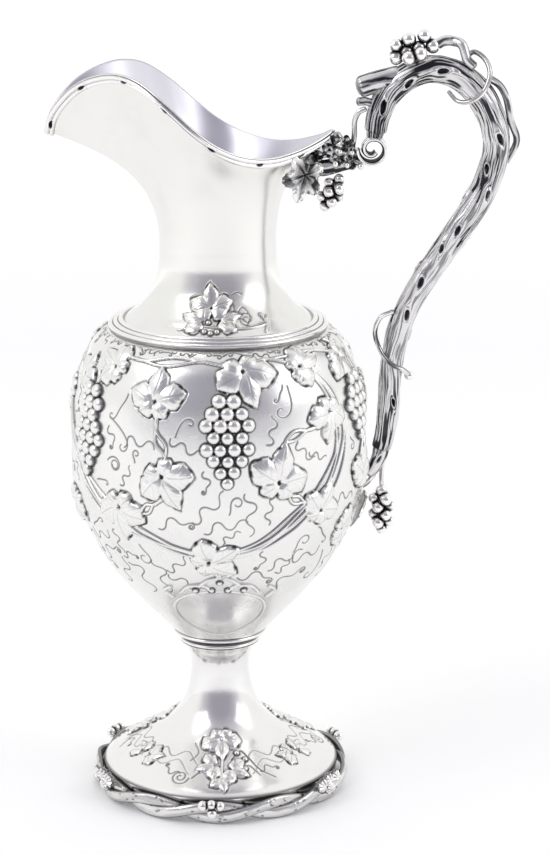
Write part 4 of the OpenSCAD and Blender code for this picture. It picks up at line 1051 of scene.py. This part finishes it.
def twig(name, slot, points, r0, r1, rough=0.5, sides=30, seed=0, knots=(), beads=()):
    """A round-ended branch with bark of its own, and beads where beads gives places and radii."""
    path = even(points, max(60, 22 * len(points)))
    r = np.linspace(r0, r1, len(path))
    t = unit(np.gradient(path, axis=0))
    u = np.empty_like(t)
    u[0] = unit(np.cross(t[0], [0, 1, 0]))
    for i in range(1, len(t)):
        u[i] = unit(u[i - 1] - t[i] * np.dot(u[i - 1], t[i]))
    ang = circle(sides)
    h, dark = bark(arc(path)[:, None], ang[None, :], r0, seed, knots, 0.3 * rough, max(7, int(3.2 * r0 + 2)))
    # Painted shade along one side of the twig.
    under = 0.8 * smooth(-np.cos(ang - 0.6), 0.3, 0.9)
    dark = np.clip(np.maximum(dark * min(1.0, 0.45 + 0.5 * rough), under), 0, 1)
    rr = r[:, None] + h * min(1.0, r0 / 3)
    p = rings(path, rr, ang, u, np.cross(t, u)[:, None])

    def cap(end, away, a):
        return (path[end] + away * t[end] * r[end] * 0.6 * math.sin(a)
                + (p[end] - path[end]) * max(math.cos(a), 0.02))
    steps = np.array([1, 2, 3]) / 3 * np.pi / 2
    v = np.concatenate([[cap(0, -1, a) for a in steps[::-1]], p, [cap(-1, 1, a) for a in steps]])
    dark = np.concatenate([np.full((3, sides), 0.5), dark, np.full((3, sides), 0.5)])
    parts = [(v.reshape(-1, 3), quads(len(v), sides), dark)] + [ball(c, q) for c, q in beads]
    piece(name, slot, *joined(parts))


def make_handle_ornament():
    """The pieces along the arch and down the outside of the handle."""
    root = float(handle_r(0.87))
    start, end = beside(0.855, 0, 0.35 * root), beside(0.91, 0, 1.95 * root)
    twig("Cut_branch", "bark_silver", [start, (start + end) / 2 + [0, 0, 0.1 * STUMP_R], end],
         1.25 * STUMP_R, 1.2 * STUMP_R, rough=2.4, sides=80, seed=31, knots=[(6, 1.2, 0.6)])
    r, root = 0.48 * STUMP_R, float(handle_r(0.93))
    twig("Broken_twig", "bark_silver", [beside(0.93, 0, 3), beside(0.93, 4, 1.3 * root),
                                        beside(0.935, 8, 1.95 * root)], r, r, rough=1.1, seed=32)
    r = 1.15 * WIRE_R
    reach = SCROLL_R + r
    loop = [SCROLL_C + (reach + lift) * np.array([math.cos(a), 0, math.sin(a)]) for lift, a in (
        (0.22 * HANDLE_R, math.radians(145)), (0.08 * HANDLE_R, math.pi), (SEAT, math.radians(190)))]
    twig("Scroll_tendril", "vine_silver",
         bark_path(r, HANDLE_R, (0.945, 14, 0), (0.955, 8, 0.35), (0.975, 4, 0.5)) + loop,
         r, r, rough=0.4, seed=33)
    r = TOP_GRAPE_R
    places = [(0.84, 0, 0), (0.8215, 0, 0), (0.803, 0, 0), (0.7845, 0, 0), (0.8215, 38, 0), (0.803, 38, 0),
              (0.8215, -38, 0), (0.803, -38, 0), (0.831, 0, 1.4), (0.8125, 0, 1.4), (0.794, 0, 1.4)]
    cluster("Top_grapes", bark_path(r, r, *places), r)
    r = 0.72 * TOP_GRAPE_R
    twig("Top_grape_stem", "bark_silver",
         bark_path(r, TOP_GRAPE_R, (0.78, 0, 0.5), (0.77, 0, 1.1), (0.759, 0, 1.3), (0.748, 12, 1.3),
                   (0.735, 26, 0.1), (0.722, 34, -0.036)), r, 0.8 * r, rough=1.0, seed=34)
    r = TENDRIL_R
    twig("Upper_tendril", "vine_silver",
         bark_path(r, HANDLE_R, (0.735, -30, 0), (0.729, -4, 0.7), (0.712, 12, 0.75), (0.696, 34, 0.45),
                   (0.684, 78, 0), (0.684, 128, 0.02), (0.703, 165, 0.3), (0.735, 180, 0.1)),
         r, 0.8 * r, rough=0.5, seed=35)
    r = TWIG_R
    twig("Side_twig", "bark_silver",
         bark_path(r, HANDLE_R, (0.69, 4, -0.1), (0.672, 0, 0.14), (0.65, 0, 0.12), (0.617, 0, -0.08),
                   (0.588, 0, 0.14), (0.56, 0, -0.4)), 0.96 * r, 0.8 * r, rough=0.9, seed=36)
    r = WIRE_R
    path = bark_path(r, HANDLE_R, (0.278, 150, 0), (0.262, 165, 0.6), (0.238, 172, 0.6), (0.212, 150, 0.1),
                     (0.196, 98, 0), (0.186, 45, 0.1), (0.172, 6, 0.32))
    twig("Lower_tendril", "vine_silver", path, r, r, rough=0.9, seed=37, beads=[(path[-1], 2.2 * r)])


# The bracket between neck and scroll, and the heel
LOBE_TURN, TEETH = 62, 34


def leaf_edge(a):
    """The share of its radius that a cast leaf has at an angle from its tip, in degrees."""
    b = np.abs((a + 180) % 360 - 180)
    lobes = (1 - 0.36 + 0.36 * np.abs(np.cos(np.radians(180 * b / LOBE_TURN)))) * (1 - 0.2 * b / 180)
    return np.where(b > 152, 0.42, lobes)


def leaf_faces(size, thick, cols=220, rows=26):
    """A cast leaf's grid: places along and across it, the height of its face, and tarnish."""
    a = np.arange(cols) * 360.0 / cols
    q = np.linspace(0, 1, rows)[:, None]
    teeth = 1 - 0.05 * np.abs(((a / 360 * TEETH) % 1) * 2 - 1)
    soft = np.mean([leaf_edge(a + d) for d in (-6, -3, 0, 3, 6)], axis=0)
    rho = q * soft * teeth * size
    x, y = rho * np.cos(np.radians(a)), rho * np.sin(np.radians(a))
    from_tip = (a + 180) % 360 - 180
    lobe = np.clip(np.round(from_tip / LOBE_TURN), -2, 2)
    off = np.radians(from_tip - LOBE_TURN * lobe)
    vein = np.abs(rho * np.sin(off))
    groove = 1 - smooth(vein, 0.25, 0.75)
    hatch = 0.5 + 0.5 * np.cos(2.0 * rho * np.cos(off) + 2.4 * vein)
    puff = np.sin(np.clip(vein / np.maximum(0.32 * rho, 0.6), 0, 1) * np.pi / 2)
    face = thick * (0.55 + 0.7 * puff) * (1 - 0.75 * smooth(q, 0.82, 1.0)) - 0.35 * groove - 0.12 * hatch
    dark = np.maximum.reduce([0.85 * groove * (q > 0.1), 0.4 * hatch ** 2 * np.ones_like(face),
                              smooth(q, 0.95, 1.0) * np.ones_like(face)])
    return x, y, face, dark


def bracket_ends():
    """Where the bracket leaves the neck, its direction there, and where it meets the scroll."""
    low_rows, high_rows = 20, 40
    a, low, pts, nrm = neck_surface(28 * 4, low_rows, high_rows)
    row = low_rows + int(round(0.71 * high_rows)) - 1
    far = int(np.argmin(np.abs(a)))
    level = np.array([1, 0, 1])
    away = unit(nrm[row, far] * level)
    down = math.radians(38)
    end = SCROLL_C + (SCROLL_R + BRACKET_R + SEAT) * np.array([-math.cos(down), 0, -math.sin(down)])
    return pts[row, far] * level + SEAT * away, away, end


BRACKET_R = 3.6
BRACKET_START, BRACKET_N, BRACKET_END = bracket_ends()
# Small leaves on the bracket's branch: distance along and above the scroll's centre, size, turn
SPRAYS = [(-24.5, -1.5, 6.0, 100), (-20, 2.5, 6.0, 40), (-13, 1.5, 5.6, 150), (-17, -3.5, 5.6, 260),
          (-9.5, -5, 4.6, 330)]
SPRAY_BEADS = [(-19, -6.8, 1.7), (-6, -8.2, 1.7), (-16.5, -0.6, 1.3), (-10.5, -1.2, 1.3), (-13, -7.5, 1.4)]


def make_bracket_leaf(name, side):
    """The vine leaf on one side of the bracket, cupped and ruffled."""
    size = 14.0
    x, y, face, dark = leaf_faces(size + 1.0, 1.4)
    edge = np.hypot(x, y) / size
    turn = (np.arctan2(y, x) / (2 * np.pi)) % 1
    ruffle = 1.5 * noise2(turn * 9, edge * 2, 3, wrap=9) + 1.2 * noise2(turn * 23, edge * 3, 4, wrap=23)
    cup = edge ** 2 * (0.3 + 0.8 * ruffle)
    dark = np.clip(0.1 * dark + 0.85 * smooth(-ruffle, -0.2, 0.6) * smooth(edge, 0.1, 0.3)
                   + 0.75 * (1 - smooth(edge, 0.25, 0.8)), 0, 1)
    face, back = np.stack([x, y, face + cup], -1), np.stack([x, y, 0.1 + cup], -1)
    v, f, t = leaf_solid(face, back, dark, 0.5)
    v = turned(v, side * 20)[:, [2, 1, 0]] * np.array([1, 1, -1])
    v = turned(v, side * 52) + BRACKET_START + size * np.array([-0.2, side * 1.03, -0.48])
    piece(name, "leaf_silver", v, f, t)


def hanging(r, rings):
    """Centres of a hanging cluster: one grape, rings of three turned against each other, one grape."""
    out = []
    for k in range(rings + 2):
        single = k in (0, rings + 1)
        for a in ((0,) if single else (0, 120, 240)):
            q = math.radians(a + 60 * k)
            reach = 0 if single else 1.25 * r
            out.append([reach * math.cos(q), reach * math.sin(q), -k * 1.3 * r])
    return np.array(out)


def make_sprays():
    """Small leaves and beads on both sides of the bracket's branch, which no CAD node has."""
    parts = []
    for dx, dz, size, turn in SPRAYS:
        x, y, face, dark = leaf_faces(size, 0.9, 110, 12)
        wave = 0.22 * size * noise2(x / 1.7 + turn, y / 1.7, 6) * np.hypot(x, y) / size
        dark = np.clip(0.15 + 0.4 * dark + 0.9 * smooth(-wave / size, -0.04, 0.05), 0, 1)
        face, back = np.stack([x, y, face + wave], -1), np.stack([x, y, wave - 0.6], -1)
        v, f, t = leaf_solid(face, back, dark, 1.0)
        v = turned(v, turn)[:, [0, 2, 1]]
        for side in (-1, 1):
            at = SCROLL_C + np.array([dx, side * (BRACKET_R + 0.7), dz])
            parts.append((v * np.array([1, side, 1]) + at, f, t))
    for dx, dz, r in SPRAY_BEADS:
        for side in (-1, 1):
            parts.append(ball(SCROLL_C + np.array([dx, side * (BRACKET_R + 1.8), dz]), r))
    v, f, t = joined(parts)
    place(mesh("Bracket_sprays", v, f, SILVERS["leaf_silver"], t), "leaf_silver")


def make_bracket():
    """The bracket's branch with its stub, leaves, sprays and hanging grapes."""
    br = BRACKET_R
    chord = np.linalg.norm(BRACKET_END - BRACKET_START)
    pts = [BRACKET_START + 1.4 * BRACKET_N, BRACKET_START + 0.35 * chord * BRACKET_N,
           BRACKET_END + 0.8 * br * np.array([-1, 0, 0.1]), BRACKET_END]
    twig("Bracket_branch", "bark_silver", pts, 1.18 * br, 0.98 * br, rough=1.3, sides=56, seed=41,
         knots=[(9, 2.6, 0.6)])
    make_sprays()
    foot = pts[2]
    stub = [foot, foot + br * np.array([-0.6, 0, 2.2]), foot + br * np.array([-1.7, 0, 3.9])]
    twig("Bracket_stub", "bark_silver", stub, 0.6 * br, 0.75 * br, rough=1.1, seed=42)
    make_bracket_leaf("Bracket_leaf_near", -1)
    make_bracket_leaf("Bracket_leaf_far", 1)
    r = BRACKET_GRAPE_R
    hook = pts[1] * 0.3 + pts[2] * 0.7 - np.array([0, 0, 1.22 * br + SEAT + r])
    leaning = turned(hanging(r, 3)[:, [0, 2, 1]], -28)[:, [0, 2, 1]]
    cluster("Bracket_grapes", leaning + hook, r)


def make_heel_leaf(top):
    """A leaf that lies round the body below the heel, its length downwards from top."""
    length = 24.0
    x, y, face, dark = leaf_faces(length / 2, 1.4)
    z = top - length / 2 - x
    r = body_radius(z) + 0.35
    az = 0.8 * y / r

    def wrap(out):
        return np.stack([(r + out) * np.cos(az), (r + out) * np.sin(az), z], -1)
    piece("Heel_leaf", "leaf_silver", *leaf_solid(wrap(0.25 + face), wrap(0), dark, 0.5))


def make_heel():
    """The branch that carries the handle on the body, its twig and leaf, and the grapes that hang there."""
    p, d = handle_at(0.0), handle_dir(0.0)
    pts = [p - SEAT * d, p - 0.9 * HEEL_R * d, p - np.array([0.9, 0, 2.2]) * HEEL_R,
           p - np.array([2.2, 0, 3.1]) * HEEL_R]
    outside = [q for q in even(pts, 60) if q[0] > body_radius(q[2]) + 0.6]
    twig("Heel_branch", "bark_silver", outside[::6] + [outside[-1]], 0.84 * HEEL_R, 0.56 * HEEL_R,
         rough=1.6, sides=56, seed=51, knots=[(5, 1.6, 0.8)])
    path = [pts[2] + HEEL_R * np.array(step) for step in ((0.2, 0, -0.5), (-0.5, 0, -1.4), (-1.3, 0, -1.9))]
    twig("Heel_twig", "vine_silver", path, WIRE_R, WIRE_R, rough=0.5, seed=52)
    make_heel_leaf(pts[3][2] - 0.5 * HEEL_R)
    top = np.array([HEEL_X + 0.1 * HEEL_R, 0, pts[2][2] - 0.4 * HEEL_R])
    end = top - np.array([0, 0, 1.1 * HEEL_R])
    twig("Drop_stem", "vine_silver", [pts[1] + HEEL_R * np.array([0.5, 0, -0.2]), top, end],
         1.2 * WIRE_R, WIRE_R, rough=0.5, seed=53)
    r = DROP_GRAPE_R
    cluster("Drop_grapes", hanging(r, 4) + end - np.array([0, 0, SEAT + r]), r)


# Silver, bright on the raised places and dark where it is oxidised and where shade is painted
def node_tools(tree):
    """Two functions for a node tree: one adds a node with its settings, one links an output to an input."""
    def add(kind, **settings):
        n = tree.nodes.new(kind)
        for key, val in settings.items():
            if key in n.inputs:
                n.inputs[key].default_value = val
            else:
                setattr(n, key, val)
        return n

    def link(source, out, target, into):
        tree.links.new(source.outputs[out], target.inputs[into])
    return add, link


def map_range(node, low, high, to_low, to_high):
    """Sets what a Map Range node maps from and to."""
    for key, val in (("From Min", low), ("From Max", high), ("To Min", to_low), ("To Max", to_high)):
        node.inputs[key].default_value = val
    return node


def silver(name, bright, dark, smooth_rough, dull_rough, grain, depth):
    """Polished silver whose attribute of patina and painted shade darkens and dulls it, with a fine uneven
    surface.
    """
    mat = bpy.data.materials.new(name)
    mat.use_nodes = True
    add, link = node_tools(mat.node_tree)
    bsdf = mat.node_tree.nodes["Principled BSDF"]
    bsdf.inputs["Metallic"].default_value = 1.0
    patina_and_shade = add("ShaderNodeAttribute", attribute_name="patina_and_shade")
    coord = add("ShaderNodeTexCoord")
    cloud = add("ShaderNodeTexNoise", Scale=55.0, Detail=4.0, Roughness=0.6)
    fine = add("ShaderNodeTexNoise", Scale=grain, Detail=3.0, Roughness=0.55)
    drift = map_range(add("ShaderNodeMapRange"), 0.3, 0.7, -0.04, 0.04)
    total = add("ShaderNodeMath", operation="ADD", use_clamp=True)
    colour = add("ShaderNodeMix", data_type="RGBA", A=(*bright, 1), B=(*dark, 1))
    rough = map_range(add("ShaderNodeMapRange"), 0.0, 1.0, smooth_rough, dull_rough)
    bump = add("ShaderNodeBump", Strength=depth, Distance=0.0002)
    link(coord, "Object", cloud, "Vector")
    link(coord, "Object", fine, "Vector")
    link(cloud, "Fac", drift, "Value")
    link(patina_and_shade, "Fac", total, 0)
    link(drift, "Result", total, 1)
    link(total, "Value", colour, "Factor")
    link(total, "Value", rough, "Value")
    link(colour, "Result", bsdf, "Base Color")
    link(rough, "Result", bsdf, "Roughness")
    link(fine, "Fac", bump, "Height")
    link(bump, "Normal", bsdf, "Normal")
    return mat


POLISHED = silver("Polished_silver", (0.90, 0.89, 0.875), (0.05, 0.05, 0.055), 0.17, 0.5, 900, 0.12)
CHASED = silver("Chased_silver", (0.87, 0.865, 0.845), (0.03, 0.03, 0.035), 0.27, 0.5, 900, 0.15)
# The inside's silver is darker and greyer than the outside's: painted shade inside the vessel
SHADED_INSIDE_SILVER = silver("Shaded_inside_silver", (0.70, 0.69, 0.75), (0.2, 0.2, 0.2), 0.34, 0.5, 700, 0.1)
NECK_SILVER = silver("Neck_silver", (0.86, 0.855, 0.82), (0.04, 0.04, 0.045), 0.22, 0.5, 900, 0.1)
BARK_SILVER = silver("Bark_silver", (0.80, 0.79, 0.79), (0.03, 0.03, 0.035), 0.26, 0.5, 1400, 0.25)
VINE_SILVER = silver("Vine_silver", (0.93, 0.92, 0.90), (0.04, 0.04, 0.045), 0.18, 0.5, 1200, 0.18)
GRAPE_SILVER = silver("Grape_silver", (0.95, 0.94, 0.92), (0.05, 0.05, 0.055), 0.13, 0.45, 800, 0.08)
LEAF_SILVER = silver("Leaf_silver", (0.92, 0.91, 0.89), (0.045, 0.045, 0.05), 0.2, 0.5, 1000, 0.2)
SILVERS = {"foot_silver": [POLISHED], "moulding_silver": [POLISHED], "body_silver": [CHASED],
           "neck_silver": [NECK_SILVER, SHADED_INSIDE_SILVER], "bark_silver": [BARK_SILVER],
           "vine_silver": [VINE_SILVER], "grape_silver": [GRAPE_SILVER], "leaf_silver": [LEAF_SILVER]}

make_base_ring()
make_foot()
make_strand("Foot_vine_inner", 0, 61)
make_strand("Foot_vine_outer", 180, 62)
make_foot_clusters()
make_collar()
make_body()
make_shoulder_ring()
make_neck()
make_lip()
make_handle()
make_scroll()
make_handle_ornament()
make_bracket()
make_heel()


# Camera, floor, world and lamps
def lamp(name, at, power):
    """A square lamp that shines on the middle of the ewer."""
    data = bpy.data.lights.new(name, "AREA")
    data.shape = "SQUARE"
    data.size = 1.2
    data.energy = power
    ob = bpy.data.objects.new(name, data)
    bpy.context.scene.collection.objects.link(ob)
    ob.location = at
    ob.rotation_euler = (Vector((0, 0, 0.2)) - Vector(at)).to_track_quat("-Z", "Y").to_euler()


# The photograph's height and the camera's focal length in its pixels, then the camera's place and angles
PHOTO_H, FOCAL = 855, 2757
CAMERA_AT, CAMERA_DOWN, CAMERA_TURN = (0, -1.38125, 0.57056), 15.27, -1.21
SENSOR = 36


def make_camera():
    scene = bpy.context.scene
    cam = bpy.data.cameras.new("Camera")
    cam.sensor_width = SENSOR
    cam.lens = FOCAL * SENSOR / PHOTO_H
    cam.clip_start = 0.05
    ob = bpy.data.objects.new("Camera", cam)
    scene.collection.objects.link(ob)
    ob.location = CAMERA_AT
    ob.rotation_euler = (math.radians(90 - CAMERA_DOWN), 0, math.radians(CAMERA_TURN))
    scene.camera = ob
    scene.view_settings.view_transform = "Standard"


def make_floor():
    """A pale floor that glows a little for the camera and in reflections, more so far away."""
    mat = bpy.data.materials.new("Floor")
    mat.use_nodes = True
    add, link = node_tools(mat.node_tree)
    bsdf = mat.node_tree.nodes["Principled BSDF"]
    bsdf.inputs["Base Color"].default_value = (0.9, 0.9, 0.9, 1)
    bsdf.inputs["Roughness"].default_value = 0.8
    bsdf.inputs["Emission Color"].default_value = (1, 1, 1, 1)
    ray = add("ShaderNodeLightPath")
    seen = add("ShaderNodeMath", operation="ADD")
    coord = add("ShaderNodeTexCoord")
    away = add("ShaderNodeVectorMath", operation="LENGTH")
    far = map_range(add("ShaderNodeMapRange"), 1.0, 7.0, 0.16, 0.7)
    glow = add("ShaderNodeMath", operation="MULTIPLY")
    link(ray, "Is Camera Ray", seen, 0)
    link(ray, "Is Glossy Ray", seen, 1)
    link(coord, "Object", away, 0)
    link(away, "Value", far, "Value")
    link(seen, "Value", glow, 0)
    link(far, "Result", glow, 1)
    link(glow, "Value", bsdf, "Emission Strength")
    r = 9.0
    corners = np.array([[-r, -r, 0], [r, -r, 0], [r, r, 0], [-r, r, 0]]) / MM
    mesh("Floor", corners, np.array([[0, 1, 2, 3]]), [mat])


def make_world():
    """White for the camera, and for reflections grey in front and pale behind."""
    world = bpy.data.worlds.new("World")
    bpy.context.scene.world = world
    world.use_nodes = True
    add, link = node_tools(world.node_tree)
    coord = add("ShaderNodeTexCoord")
    front = add("ShaderNodeVectorMath", operation="DOT_PRODUCT")
    front.inputs[1].default_value = (0, -0.97, 0.24)
    ramp = add("ShaderNodeValToRGB")
    stops = ((0.0, (0.98, 0.98, 0.98)), (0.3, (0.95, 0.95, 0.96)), (0.55, (0.62, 0.61, 0.66)),
             (0.9, (0.36, 0.35, 0.41)))
    while len(ramp.color_ramp.elements) < len(stops):
        ramp.color_ramp.elements.new(0.5)
    for element, (at, colour) in zip(ramp.color_ramp.elements, stops):
        element.position = at
        element.color = (*colour, 1)
    ray = add("ShaderNodeLightPath")
    mix = add("ShaderNodeMix", data_type="RGBA", B=(1, 1, 1, 1))
    link(coord, "Generated", front, 0)
    link(front, "Value", ramp, "Fac")
    link(ray, "Is Camera Ray", mix, "Factor")
    link(ramp, "Color", mix, "A")
    link(mix, "Result", world.node_tree.nodes["Background"], "Color")


make_camera()
make_floor()
make_world()
lamp("Key", (-1.5, -0.9, 1.7), 9.5)
lamp("Fill", (1.7, -0.6, 1.2), 6.5)
